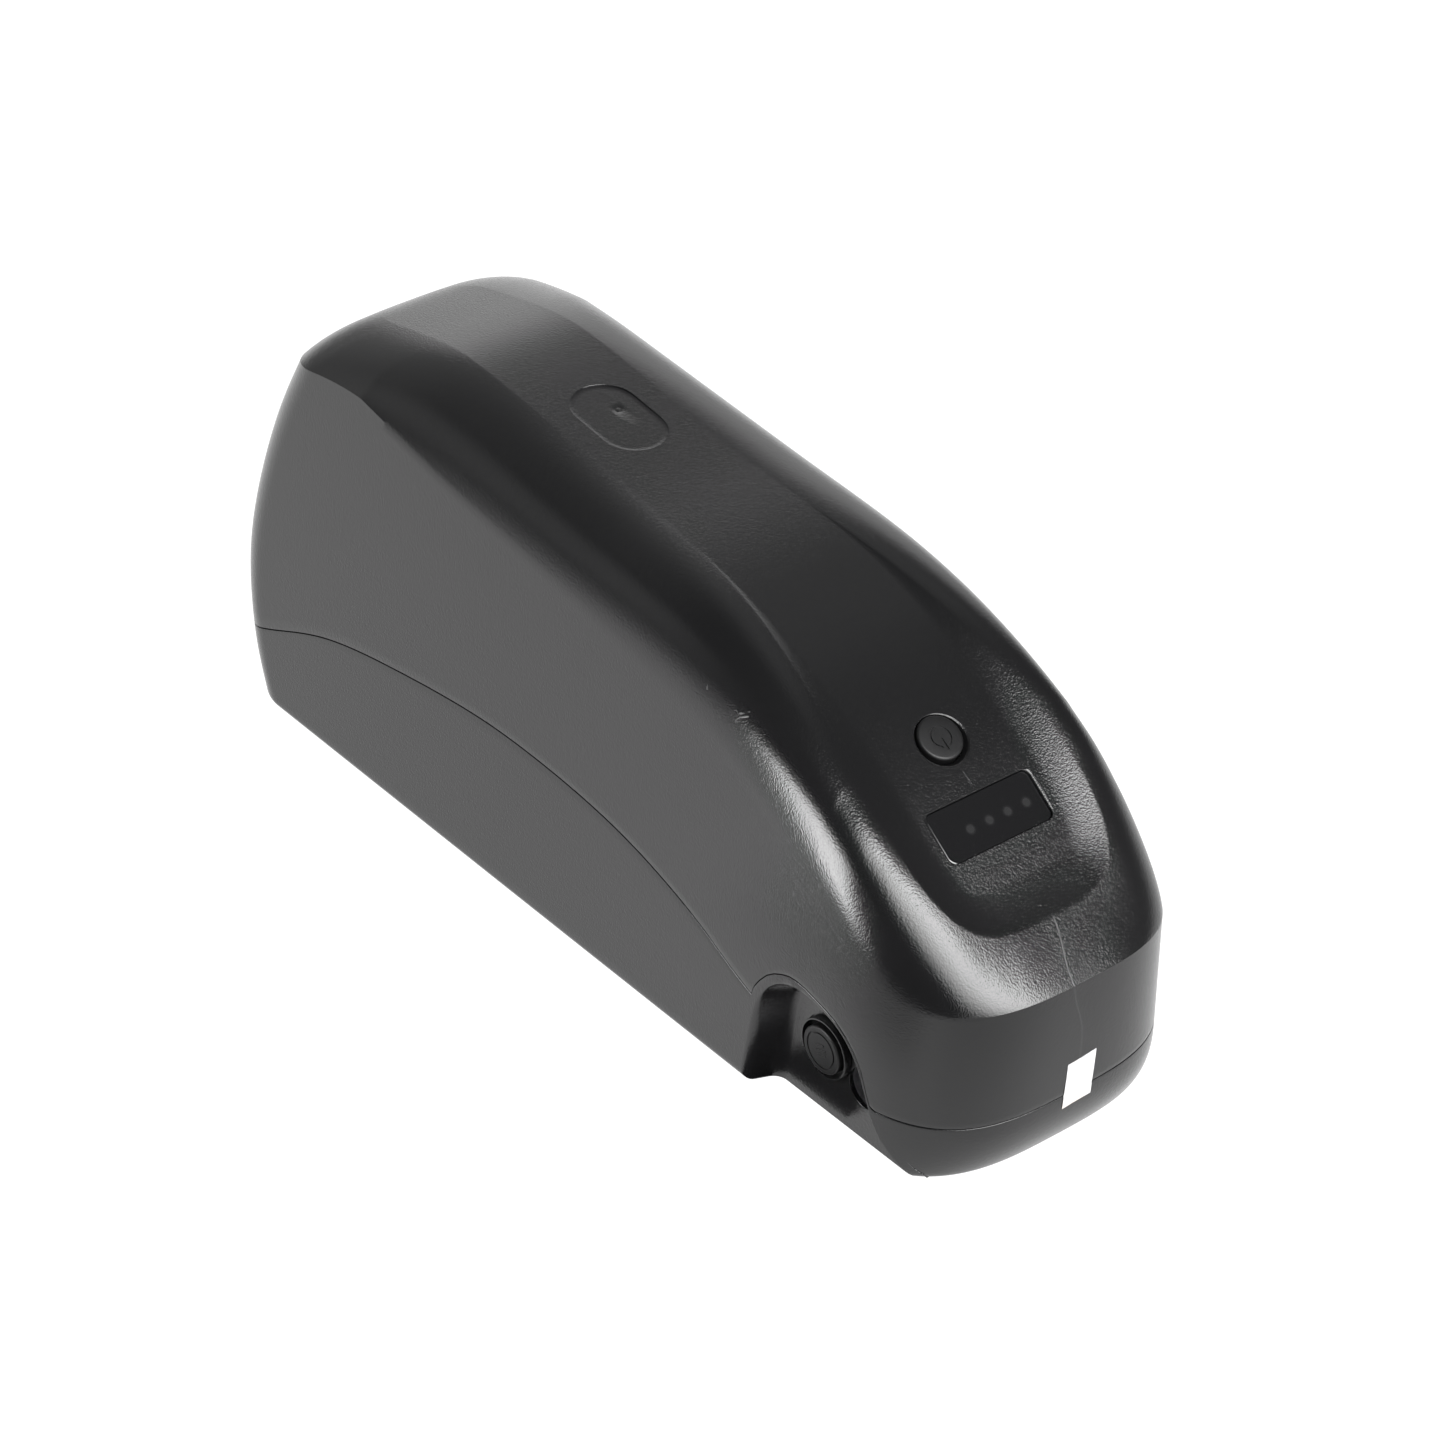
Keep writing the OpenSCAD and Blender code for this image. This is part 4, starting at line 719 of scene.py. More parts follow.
combine(upper_shell, tube("dimple", dimple, gate, 40))
for (x, y), top in zip(SCREWS, (86, 86, 70, 70, 60.6, 60.6)):
    combine(upper_shell, tube("boss", [(4.0, 11.3), (4.0, top)], standing(x, y), 32), "UNION")
    combine(upper_shell, tube("thread", [(1.5, 9), (1.5, 26)], standing(x, y), 24))
smooth_by(upper_shell)
print("upper shell:", len(upper_shell.data.polygons), "faces")

# %% [markdown]
# Button: a soft cap with a rounded edge, a flange that holds it from inside, and an engraved power
# mark, an open ring with a bar. The mark is made as a core and taken away from the cap.

# %% Button
BUTTON_TOP, BUTTON_EDGE = 0.25, 0.7


def quarter_round(r, top, edge, start=0.0, steps=6):
    """Rounded edge of a turned piece, from its side over to its face, as (radius, height)."""
    return [(r - edge * (1 - math.cos(t)), top - edge * (1 - math.sin(t)))
            for t in np.linspace(start, math.pi / 2, steps)]


def power_mark():
    """Core of the engraved mark: a ring with a gap towards the nose, and a bar in the gap."""
    ring = tube("mark_ring", [(2.82, -0.22), (2.92, -0.12), (2.98, 0.6)], steps=72)
    core = tube("mark_core", [(2.42, -1.0), (2.42, -0.15), (2.32, 0.2), (2.32, 1.0)], steps=72)
    combine(ring, core)
    combine(ring, block("mark_gap", 4.0, 1.9, 0.2, [(-2, 0), (2, 0)], standing(2.6, 0)))
    groove = [(-0.22, -0.05), (-0.12, 0), (0.6, 0.04)]
    return combine(ring, block("mark_bar", 3.4, 0.5, 0.22, groove, standing(2.0, 0)), "UNION")


def make_button():
    profile = [(1.7, -7.4), (1.7, -6.0), (7.1, -6.0), (7.2, -5.9), (7.2, -5.1), (7.1, -5.0),
               (BUTTON_R, -5.0), (BUTTON_R, BUTTON_TOP - BUTTON_EDGE)]
    profile += quarter_round(BUTTON_R, BUTTON_TOP, BUTTON_EDGE, 0.2, 7) + [(3.4, BUTTON_TOP + 0.05)]
    button = tube("power_button_cap", profile, steps=96)
    mark = power_mark()
    mark.data.transform(Matrix.Translation((0, 0, BUTTON_TOP * MM)))
    combine(button, mark)
    button.data.transform(Matrix.Scale(1 / MM, 4))
    return smooth_by(placed(button, on_tongue(BUTTON_X)), 40)


button = make_button()
print("button:", len(button.data.polygons), "faces")

# %% [markdown]
# Charge window: a polished block that lies just below the rim of its hole, so that the lit rim
# frames it. Its own edge is broken, as on an injection-moulded lens.

# %% Charge window
l, w, r = WINDOW
lens_levels = [(-2.7, 0), (-0.95, 0), (-0.78, -0.07), (-0.7, -0.25)]
lens = smooth_by(block("charge_window", l, w, r, lens_levels, on_tongue(WINDOW_X)), 40)
print("window:", len(lens.data.polygons), "faces")

# %% [markdown]
# Cap: the rubber cap closes the port inside a thin raised ring. Its face has a rounded edge and a
# generic mark of three bars, and a flat strap leads to the knuckle that it hinges on.

# %% Cap of the charging port
CAP_R, CAP_TOP, CAP_EDGE = 6.5, 2.8, 0.55
CAP_ARM, STRAP_TURN, MARK_TURN = 8.1, math.radians(230), math.radians(20)


def make_cap():
    profile = [(4.0, -2.5), (4.0, -0.9), (CAP_R, -0.9), *quarter_round(CAP_R, CAP_TOP, CAP_EDGE)]
    profile += [(5.1, 2.78), (5.05, 2.5), (4.6, 2.5), (4.55, 2.78), (2.0, CAP_TOP)]
    cap = tube("port_cap", profile, steps=96)
    turn = Matrix.Rotation(STRAP_TURN, 4, "Z")
    for y in (-1.35, 0, 1.35):
        where = Matrix.Rotation(MARK_TURN, 4, "Z") @ standing(0, y)
        bar = block("bar", 4.0 - abs(y) * 0.5, 0.62, 0.28, [(2.0, 0), (2.93, 0), (3.0, -0.1)], where)
        combine(cap, bar, "UNION")
    flat = [(0.3, -0.1), (0.4, 0), (1.3, 0), (1.4, -0.1)]
    combine(cap, block("strap", 2.6, 5.0, 0.3, flat, turn @ standing(CAP_ARM - 1.1, 0)), "UNION")
    knuckle = turn @ Matrix.Translation((CAP_ARM, 0, 0.85)) @ Matrix.Rotation(math.pi / 2, 4, "X")
    barrel = [(0.4, -2.5), (0.55, -2.4), (0.55, 2.4), (0.4, 2.5)]
    combine(cap, tube("knuckle", barrel, knuckle, 32), "UNION")
    cap.data.transform(Matrix.Scale(1 / MM, 4))
    return smooth_by(placed(cap, sideways(*PORT)), 40)


def make_ring():
    """Thin raised ring round the cap, open where the strap passes."""
    profile = [(8.15, -0.7), (8.15, 1.9), (8.05, 2.05), (7.75, 2.05), (7.65, 1.9), (7.65, -0.7)]
    ring = tube("port_ring", profile, steps=96)
    combine(ring, tube("ring_core", [(7.65, -2), (7.65, 4)], steps=96))
    where = Matrix.Rotation(STRAP_TURN, 4, "Z") @ standing(CAP_ARM, 0)
    combine(ring, block("ring_gap", 5, 6.2, 0.2, [(-3, 0), (5, 0)], where))
    ring.data.transform(Matrix.Scale(1 / MM, 4))
    return smooth_by(placed(ring, sideways(*PORT)), 40)


cap, port_ring = make_cap(), make_ring()
print("cap:", len(cap.data.polygons), "faces, ring:", len(port_ring.data.polygons))

# %% [markdown]
# Seal label: a thin blank vinyl rectangle that was pressed over the parting line of the nose. It
# follows the shell, is dented along the joint and has slightly uneven edges.

# %% Seal label
LABEL_Y, LABEL_Z, LABEL_W, LABEL_H, LABEL_T = 1.3, 20.8, 9.0, 13.4, 0.13
LABEL_ROWS, LABEL_COLS = 41, 19


def nose_face(y, z):
    cols, ys = plan_point(np.full(HALF_N, z), 0)
    front = KIND == 3
    return float(np.interp(abs(y), -ys[front][::-1], cols[front][::-1]))


def make_label():
    seam = float(SEAM[False][-1])
    sheet = []
    for side in (0, 1):
        rows = []
        for z in np.linspace(-0.5, 0.5, LABEL_ROWS):
            row = []
            for y in np.linspace(-0.5, 0.5, LABEL_COLS):
                skew = 0.05 * LABEL_H * y
                py, pz = LABEL_Y + LABEL_W * y + 0.25 * math.sin(3 * z), LABEL_Z + LABEL_H * z + skew
                crease = math.exp(-((pz - seam - 0.1) / 0.55) ** 2)
                lift = 0.03 + LABEL_T * side - 0.10 * crease + 0.05 * math.sin(5 * y + 2) * math.sin(4 * z)
                row.append((nose_face(py, pz) + max(lift, -0.02), py, pz))
            rows.append(row)
        sheet.append(np.array(rows))
    back, front = sheet
    loop = lambda k: np.concatenate([back[k], front[k][::-1], back[k][:1]])
    ends = [np.tile(back[k].mean(0), (2 * LABEL_COLS + 1, 1)) for k in (0, -1)]
    rows = [ends[0]] + [loop(k) for k in range(LABEL_ROWS)] + [ends[1]]
    return smooth_by(grid_piece("seal_label_sheet", np.array(rows)), 50)


label = make_label()
print("label:", len(label.data.polygons), "faces")

# %% [markdown]
# A new piece stands for one solid and takes its place, rides one moving body and has one slot of
# the record. Solids that no piece stands for stay as they are.

# %% Each piece rides its body and stands for its solid
PIECES = [(upper_shell, "upper_shell", "case", "case_plastic"),
          (lower_shell, "lower_shell", "case", "case_plastic"),
          (button, "power_button", "button", "button_rubber"),
          (lens, "indicator_lens", "case", "smoked_lens"),
          (cap, "charge_cap", "cap", "cap_rubber"),
          (port_ring, None, "case", "case_plastic"),
          (label, "seal_label", "case", "label_white")]

for piece, node, body, slot in PIECES:
    if node:
        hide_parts(node)
    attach(piece, body)
    print(piece.name, "rides", body, "with", len(piece.data.polygons), "faces")

# %% [markdown]
# A finish is a sheet of nodes. Writing it as sums and products is easier to read than wires, so
# one small class wraps a socket and knows the arithmetic signs, and one method makes every other
# node. A colour never goes through a Math node, which would turn it grey: it goes through Mix.

# %% Shader arithmetic


class Value:
    """An output socket that can be added, subtracted, multiplied and divided."""

    def __init__(self, sheet, socket):
        self.sheet, self.socket = sheet, socket

    def maths(self, operation, first, second):
        return self.sheet.node("Math", {"operation": operation}, {0: first, 1: second})

    def __add__(self, other):
        return self.maths("ADD", self, other)

    def __sub__(self, other):
        return self.maths("SUBTRACT", self, other)

    def __mul__(self, other):
        return self.maths("MULTIPLY", self, other)

    def __truediv__(self, other):
        return self.maths("DIVIDE", self, other)

    def __rsub__(self, other):
        return self.maths("SUBTRACT", other, self)

    def __abs__(self):
        return self.maths("ABSOLUTE", self, 0.0)

    __radd__, __rmul__ = __add__, __mul__


class Sheet:
    """The node sheet of one finish, or of the room around the object."""

    def __init__(self, tree):
        self.tree = tree
        tree.nodes.clear()

    def node(self, kind, settings=None, sockets=None, out=0):
        made = self.tree.nodes.new("ShaderNode" + kind)
        for key, value in (settings or {}).items():
            setattr(made, key, value)
        for key, value in (sockets or {}).items():
            if isinstance(value, Value):
                self.tree.links.new(value.socket, made.inputs[key])
            else:
                made.inputs[key].default_value = value
        return Value(self, made.outputs[out]) if len(made.outputs) else None

    def place(self):
        return self.node("TexCoord", out="Object")

    def axes(self, vector):
        split = self.node("SeparateXYZ", None, {0: vector})
        return [Value(self, split.socket.node.outputs[k]) for k in range(3)]

    def dot(self, vector, other):
        return self.node("VectorMath", {"operation": "DOT_PRODUCT"}, {0: vector, 1: other}, out="Value")

    def step(self, value, start, end):
        """0 before start and 1 after end, softly between; the other way round when end is smaller."""
        low, high, first, last = (start, end, 0.0, 1.0) if start < end else (end, start, 1.0, 0.0)
        return self.node("MapRange", {"interpolation_type": "SMOOTHSTEP"},
                         {0: value, 1: low, 2: high, 3: first, 4: last})

    def noise(self, where, size_mm, detail=2.0):
        """Noise whose blobs are about size_mm wide."""
        return self.node("TexNoise", None, {"Vector": where, "Scale": 0.5 / (size_mm * MM), "Detail": detail})

    def stretched(self, where, along, size_mm, detail=2.0, ratio=30.0):
        scale = [1 / ratio if axis == along else 1.0 for axis in "xyz"]
        long_way = self.node("Mapping", None, {"Vector": where, "Scale": scale})
        return self.noise(long_way, size_mm, detail)

    def mix(self, share, first, second):
        colour = lambda c: c if isinstance(c, Value) else (*c, 1.0)
        return self.node("Mix", {"data_type": "RGBA"}, {0: share, 6: colour(first), 7: colour(second)}, out=2)

    def bump(self, height, depth_mm):
        return self.node("Bump", None, {"Height": height, "Distance": depth_mm * MM, "Strength": 1.0})

    def stroke(self, where, start, end, width_mm):
        """1 on a scratch between two points in millimetres, 0 away from it."""
        start, end = Vector(start) * MM, Vector(end) * MM
        way = end - start
        offset = self.node("VectorMath", {"operation": "SUBTRACT"}, {0: where, 1: start})
        share = self.node("Clamp", None, {0: self.dot(offset, way / way.length_squared)})
        foot = self.node("VectorMath", {"operation": "SCALE"}, {0: way, "Scale": share})
        miss = self.node("VectorMath", {"operation": "DISTANCE"}, {0: offset, 1: foot}, out="Value")
        return self.step(miss, width_mm * MM, width_mm * MM * 0.35)

    def surface(self, colour, roughness, normal=None, **constants):
        colour = colour if isinstance(colour, Value) else (*colour, 1.0)
        sockets = {"Base Color": colour, "Roughness": roughness}
        sockets.update({key.replace("_", " "): value for key, value in constants.items()})
        if normal:
            sockets["Normal"] = normal
        shader = self.node("BsdfPrincipled", None, sockets)
        self.node("OutputMaterial", None, {"Surface": shader})


FINISHES = {}


def finish(recipe):
    """Makes the material of one record slot from the recipe of the same name."""
    material = bpy.data.materials.new(recipe.__name__)
    material.use_nodes = True
    recipe(Sheet(material.node_tree))
    FINISHES[recipe.__name__] = material
    return recipe


print("sheet ready")

# %% [markdown]
# The shells are black plastic from a spark-eroded mould. Its fine grain, about half a millimetre,
# shows as a sparkle wherever a light is mirrored. A faint knit line, where two streams of plastic
# met, runs down the middle of the nose, and some scuffs lie on the shoulder in front of the hump.

# %% Case plastic
# each scuff: start, end and width in mm
SCUFFS = [((50.2, -39.4, 100.4), (52.3, -38.9, 100.9), 0.30),
          ((54.5, -37.6, 101.4), (54.9, -38.6, 99.9), 0.26),
          ((63.2, -38.6, 98.4), (65.2, -38.0, 99.2), 0.22),
          ((65.2, -38.0, 99.2), (66.8, -38.3, 98.2), 0.22),
          ((66.8, -38.3, 98.2), (68.9, -37.3, 99.2), 0.24),
          ((66.4, -37.8, 98.9), (68.7, -36.8, 100.1), 0.26),
          ((66.0, -38.7, 97.3), (66.9, -38.2, 98.3), 0.20)]


@finish
def case_plastic(sheet):
    place = sheet.place()
    x, y, z = sheet.axes(place)
    grain = sheet.noise(place, 0.20, 1.0) * 0.65 + sheet.noise(place, 0.40, 1.0) * 0.35
    haze = sheet.noise(place, 38.0, 3.0)
    drift = sheet.step(z, 0.0630, 0.0520) * 0.0040 - sheet.step(z, 0.0520, 0.0340) * 0.0042 - 0.0006
    knit = sheet.step(abs(y + drift), 0.00030, 0.00010) * sheet.step(x, 0.1345, 0.1360)
    knit_back = sheet.step(abs(y - 0.0002), 0.0003, 0.0001)
    knit_back = knit_back * sheet.step(x, 0.1022, 0.1030) * sheet.step(x, 0.1062, 0.1054)
    line = knit * (sheet.step(z, 0.0500, 0.0540) * 0.35 + 0.20) + knit_back * 0.25
    marks = None
    for start, end, width in SCUFFS:
        mark = sheet.stroke(place, start, end, width)
        marks = mark if marks is None else marks + mark
    marks = marks * sheet.step(sheet.noise(place, 0.7, 2.0), 0.36, 0.55)
    colour = sheet.mix(haze, (0.0050, 0.0050, 0.0053), (0.0068, 0.0068, 0.0071))
    colour = sheet.mix(line, colour, (0.055, 0.055, 0.056))
    colour = sheet.mix(marks, colour, (0.060, 0.060, 0.061))
    roughness = 0.18 + haze * 0.05 + line * 0.2 + marks * 0.3
    sheet.surface(colour, roughness, sheet.bump(grain + marks * 0.3, 0.085))


print("case plastic: two sizes of grain,", len(SCUFFS), "scuffs")

# %% [markdown]
# The rubber parts are duller than the case. The button and the cap have a satin face; the seal
# and the foam are seldom seen, but they get their own finish, since a finish belongs to a
# material and not to a view.

# %% Rubber and foam


def rubbery(sheet, dark, light, roughness, grain_mm=0.3, depth_mm=0.02, sheen=0.5):
    place = sheet.place()
    dust = sheet.noise(place, 6.0, 4.0)
    colour = sheet.mix(sheet.step(dust, 0.35, 0.8), dark, light)
    sheet.surface(colour, roughness + dust * 0.1, sheet.bump(sheet.noise(place, grain_mm, 2.0), depth_mm),
                  Specular_IOR_Level=sheen)


@finish
def button_rubber(sheet):
    rubbery(sheet, (0.004, 0.004, 0.0043), (0.0075, 0.0075, 0.0078), 0.36, 0.25, 0.012, 0.28)


@finish
def cap_rubber(sheet):
    rubbery(sheet, (0.004, 0.004, 0.0042), (0.0075, 0.0075, 0.0078), 0.40, 0.3, 0.012, 0.27)


@finish
def seal_rubber(sheet):
    rubbery(sheet, (0.010, 0.010, 0.010), (0.022, 0.022, 0.022), 0.65)


@finish
def lead_black(sheet):
    rubbery(sheet, (0.012, 0.012, 0.012), (0.025, 0.025, 0.025), 0.45, 0.8, 0.01)


@finish
def lead_red(sheet):
    rubbery(sheet, (0.36, 0.012, 0.010), (0.46, 0.030, 0.022), 0.42, 0.8, 0.01)


@finish
def lead_grey(sheet):
    rubbery(sheet, (0.24, 0.24, 0.26), (0.34, 0.34, 0.36), 0.45, 0.8, 0.01)


@finish
def foam(sheet):
    place = sheet.place()
    cells = sheet.node("TexVoronoi", None, {"Vector": place, "Scale": 900.0})
    colour = sheet.mix(sheet.step(cells, 0.1, 0.6), (0.020, 0.020, 0.021), (0.060, 0.060, 0.062))
    sheet.surface(colour, 0.9, sheet.bump(cells, 0.3))


print("rubber and foam ready")

# %% [markdown]
# The charge window is one piece of smoked, polished plastic. Four lamps stand behind it. They are
# off, and show only as soft paler discs, so they are drawn in the lens's own colour.

# %% Smoked window
LAMPS_X, LAMPS_Y, LAMP_R = 0.6, (-6.12, -0.22, 5.53, 11.38), 1.15


@finish
def smoked_lens(sheet):
    place = sheet.place()
    x, y, z = sheet.axes(place)
    tilt = top_tilt(WINDOW_X)
    middle = on_tongue(WINDOW_X) @ Vector((LAMPS_X, 0, 0)) * MM
    lead = Vector((math.cos(tilt), 0, -math.sin(tilt)))
    along_x = sheet.dot(place, lead) - middle.dot(lead)
    discs = None
    for lamp_y in LAMPS_Y:
        across = y - lamp_y * MM
        far = sheet.node("Math", {"operation": "SQRT"}, {0: along_x * along_x + across * across})
        disc = sheet.step(far, 1.45 * LAMP_R * MM, 0.55 * LAMP_R * MM)
        discs = disc if discs is None else discs + disc
    dust = sheet.step(sheet.noise(place, 0.9, 3.0), 0.66, 0.80)
    colour = sheet.mix(discs, (0.0062, 0.0062, 0.0066), (0.0180, 0.0180, 0.0185))
    colour = sheet.mix(dust, colour, (0.02, 0.02, 0.02))
    ripple = sheet.bump(sheet.noise(place, 9.0, 1.0), 0.02)
    sheet.surface(colour, 0.09 + dust * 0.2, ripple)


@finish
def lamp(sheet):
    place = sheet.place()
    cloud = sheet.noise(place, 1.2, 2.0)
    colour = sheet.mix(cloud, (0.82, 0.80, 0.66), (0.88, 0.88, 0.84))
    sheet.surface(colour, 0.12 + cloud * 0.1, sheet.bump(cloud, 0.02))


print("window with", len(LAMPS_Y), "lamps")

# %% [markdown]
# Hard mouldings inside the case share one recipe with different colours: a fine grain, and a
# slight change of shade where the plastic flowed.

# %% Hard plastics


def moulded(sheet, dark, light, roughness, grain_mm=0.4, depth_mm=0.02, **constants):
    place = sheet.place()
    flow = sheet.noise(place, 12.0, 3.0)
    sheet.surface(sheet.mix(flow, dark, light), roughness + flow * 0.08,
                  sheet.bump(sheet.noise(place, grain_mm, 2.0), depth_mm), **constants)


@finish
def inner_plastic(sheet):
    moulded(sheet, (0.018, 0.018, 0.019), (0.030, 0.030, 0.031), 0.40)


@finish
def holder_plastic(sheet):
    moulded(sheet, (0.035, 0.035, 0.038), (0.055, 0.055, 0.060), 0.48, 0.5, 0.03)


@finish
def socket_plastic(sheet):
    moulded(sheet, (0.70, 0.67, 0.58), (0.80, 0.78, 0.70), 0.35, 0.6, 0.01)


@finish
def chip(sheet):
    moulded(sheet, (0.012, 0.012, 0.013), (0.022, 0.022, 0.023), 0.55, 0.2, 0.02)


@finish
def fuse_body(sheet):
    moulded(sheet, (0.62, 0.50, 0.12), (0.72, 0.60, 0.20), 0.25, 0.8, 0.01)


@finish
def bead(sheet):
    moulded(sheet, (0.05, 0.022, 0.012), (0.10, 0.05, 0.03), 0.18, 0.8, 0.02,
            Coat_Roughness=0.1, Coat_Weight=0.5)


@finish
def cell_wrap(sheet):
    place = sheet.place()
    wrinkle = sheet.stretched(place, "y", 1.6, 3.0, 12.0)
    colour = sheet.mix(sheet.noise(place, 20.0, 2.0), (0.030, 0.150, 0.340), (0.045, 0.200, 0.430))
    sheet.surface(colour, 0.24 + wrinkle * 0.12, sheet.bump(wrinkle, 0.05))


@finish
def label_white(sheet):
    place = sheet.place()
    fibre = sheet.noise(place, 0.5, 3.0)
    bands = sheet.step(sheet.stretched(place, "z", 1.5, 1.0, 6.0), 0.42, 0.66)
    rubbed = sheet.step(sheet.noise(place, 3.0, 3.0), 0.45, 0.75)
    colour = sheet.mix(bands * 0.7, (0.50, 0.50, 0.51), (0.52, 0.46, 0.40))
    colour = sheet.mix(rubbed * 0.35, colour, (0.45, 0.45, 0.44))
    sheet.surface(colour, 0.45 + fibre * 0.1, sheet.bump(fibre + sheet.noise(place, 2.4, 2.0) * 2.0, 0.03))


print("plastics ready")

# %% [markdown]
# Metals differ in the way they were made: drawn strip shows long fine lines, turned parts are
# smoother, plating is bright with a few cloudy spots.

# %% Metals


def drawn(sheet, dark, light, roughness, along_axis="x", size_mm=0.25, depth_mm=0.008):
    place = sheet.place()
    lines = sheet.stretched(place, along_axis, size_mm, 3.0)
    spots = sheet.noise(place, 5.0, 3.0)
    sheet.surface(sheet.mix(lines * 0.5 + spots * 0.5, dark, light), roughness + lines * 0.14 + spots * 0.06,
                  sheet.bump(lines, depth_mm), Metallic=1.0)


@finish
def nickel(sheet):
    drawn(sheet, (0.60, 0.58, 0.53), (0.74, 0.72, 0.67), 0.24)


@finish
def steel_parts(sheet):
    drawn(sheet, (0.50, 0.50, 0.51), (0.64, 0.64, 0.65), 0.26, "z", 0.2)


@finish
def bushing_steel(sheet):
    drawn(sheet, (0.30, 0.30, 0.31), (0.44, 0.44, 0.45), 0.32, "y", 0.3)


@finish
def nut_metal(sheet):
    drawn(sheet, (0.60, 0.60, 0.60), (0.76, 0.76, 0.75), 0.15, "y", 0.4, 0.004)


@finish
def brass_parts(sheet):
    drawn(sheet, (0.70, 0.50, 0.20), (0.82, 0.62, 0.30), 0.20, "y", 0.3)


@finish
def spreader(sheet):
    drawn(sheet, (0.66, 0.66, 0.68), (0.80, 0.80, 0.82), 0.30, "x", 0.3)


print("metals ready")

# %% [markdown]
# A circuit board is woven glass under green lacquer. The weave is a fine bump, and the copper
# tracks shine through as paler straight bands. The insulation sheet is pressed paper with fibres.

# %% Board and paper


@finish
def board(sheet):
    place = sheet.place()
    weave = sheet.node("TexChecker", None, {"Vector": place, "Scale": 1600.0}, out="Fac")
    scaled = sheet.node("Mapping", None, {"Vector": place, "Scale": (210.0, 210.0, 210.0)})
    tracks = sheet.node("TexBrick", {"offset": 0.37, "squash": 2.3, "squash_frequency": 3},
                        {"Vector": scaled, "Scale": 1.0, "Mortar Size": 0.06, "Mortar Smooth": 0.4},
                        out="Fac")
    colour = sheet.mix(tracks, (0.012, 0.150, 0.060), (0.030, 0.260, 0.110))
    sheet.surface(colour, 0.25 + tracks * 0.1, sheet.bump(weave * 0.2 + tracks, 0.03))


@finish
def sheet_paper(sheet):
    place = sheet.place()
    along = sheet.stretched(place, "x", 0.3, 4.0, 8.0)
    across = sheet.stretched(place, "z", 0.4, 4.0, 6.0)
    fibres = along * 0.5 + across * 0.5
    colour = sheet.mix(fibres, (0.27, 0.33, 0.22), (0.40, 0.46, 0.33))
    sheet.surface(colour, 0.75 + fibres * 0.1, sheet.bump(fibres, 0.06))


print("finishes:", len(FINISHES))

# %% [markdown]
# Every solid of the frame, seen or hidden, gets the finish of its slot in the record, and each
# new piece gets the finish of its own slot.

# %% Put the finishes on


def dress(piece, slot):
    piece.data.materials.clear()
    piece.data.materials.append(FINISHES[slot])


for part in frame["record"]["subparts"]:
    dress(nodes[part["node"]], part["material_slot"])
for piece, _node, _body, slot in PIECES:
    dress(piece, slot)

# %% [markdown]
# The object stands on white paper that is lit so strongly that it shows no shadow. The paper's
# glow is also the light that the side walls mirror.

# %% Floor
bpy.context.scene.view_settings.view_transform = "Standard"
PAPER_GLOW, PAPER_GREY = 1.12, 0.03


def make_floor():
    bpy.ops.object.select_all(action="DESELECT")
    bpy.ops.mesh.primitive_plane_add(size=8)
    paper = bpy.context.object
    paper.name = "floor"
    material = bpy.data.materials.new("white_paper")
    material.use_nodes = True
    sheet = Sheet(material.node_tree)
    fibre = sheet.noise(sheet.place(), 30.0, 2.0)
    colour = sheet.mix(fibre, (PAPER_GREY,) * 3, (PAPER_GREY * 1.05,) * 3)
    sheet.surface(colour, 0.8, Emission_Color=(1, 1, 1, 1), Emission_Strength=PAPER_GLOW)
    paper.data.materials.append(material)
    return paper


floor = make_floor()
print("floor glows at", PAPER_GLOW)

# %% [markdown]
# A glossy black object shows little but what it mirrors, so the light is painted as a room: a
# large soft box in front, a pale wall behind on the right, a dim one on the left and a dark
# ceiling. A soft box is a rectangle of directions. Its edges are blurred, and it can be brighter
# at the top. A small bounce card beside the case draws the streak on the shoulder.

# %% Room of light
# azimuth and elevation in degrees; cut of the top right corner (distance, or 9 for none); half width
# and half height as tangents; blur; light at the foot and top, and the share left at the far left
SOFT_BOXES = [(-3.0, 31.0, 0.690, 0.57, 0.575, 0.08, 6.0, 26.0, 0.14),
              (129.0, 12.0, 9.0, 0.41, 0.38, 0.08, 0.75, 1.85, 1.0),
              (82.0, -4.0, 9.0, 0.36, 0.20, 0.10, 1.7, 0.8, 1.0),
              (168.0, 24.0, 9.0, 0.62, 0.62, 0.10, 0.50, 0.45, 1.0),
              (-142.0, 21.0, 9.0, 0.26, 0.28, 0.12, 0.9, 0.6, 1.0),
              (112.0, 56.0, 9.0, 0.22, 0.20, 0.12, 0.45, 0.4, 1.0)]
ROOM_DARK = 0.08
CORNER_SLOPE = (0.59, 0.81)


def direction(azimuth, elevation):
    a, e = math.radians(azimuth), math.radians(elevation)
    return Vector((math.cos(e) * math.cos(a), math.cos(e) * math.sin(a), math.sin(e)))


def soft_box(sheet, look, azimuth, elevation, cut, half_w, half_h, blur, foot, top, left):
    centre = direction(azimuth, elevation)
    side = Vector((0, 0, 1)).cross(centre).normalized()
    rise = centre.cross(side)
    depth = sheet.dot(look, centre)
    safe = sheet.node("Math", {"operation": "MAXIMUM"}, {0: depth, 1: 0.02})
    u, v = sheet.dot(look, side) / safe, sheet.dot(look, rise) / safe
    mask = sheet.step(abs(u), half_w + blur, half_w - blur) * sheet.step(abs(v), half_h + blur, half_h - blur)
    slant = u * CORNER_SLOPE[0] + v * CORNER_SLOPE[1]
    mask = mask * sheet.step(slant, cut + blur * 0.7, cut - blur * 0.7)
    level = sheet.node("MapRange", None, {0: v, 1: -half_h, 2: half_h, 3: foot, 4: top})
    fade = sheet.node("MapRange", None, {0: u, 1: -half_w, 2: half_w * 0.4, 3: left, 4: 1.0})
    return mask * sheet.step(depth, 0.02, 0.1) * level * fade


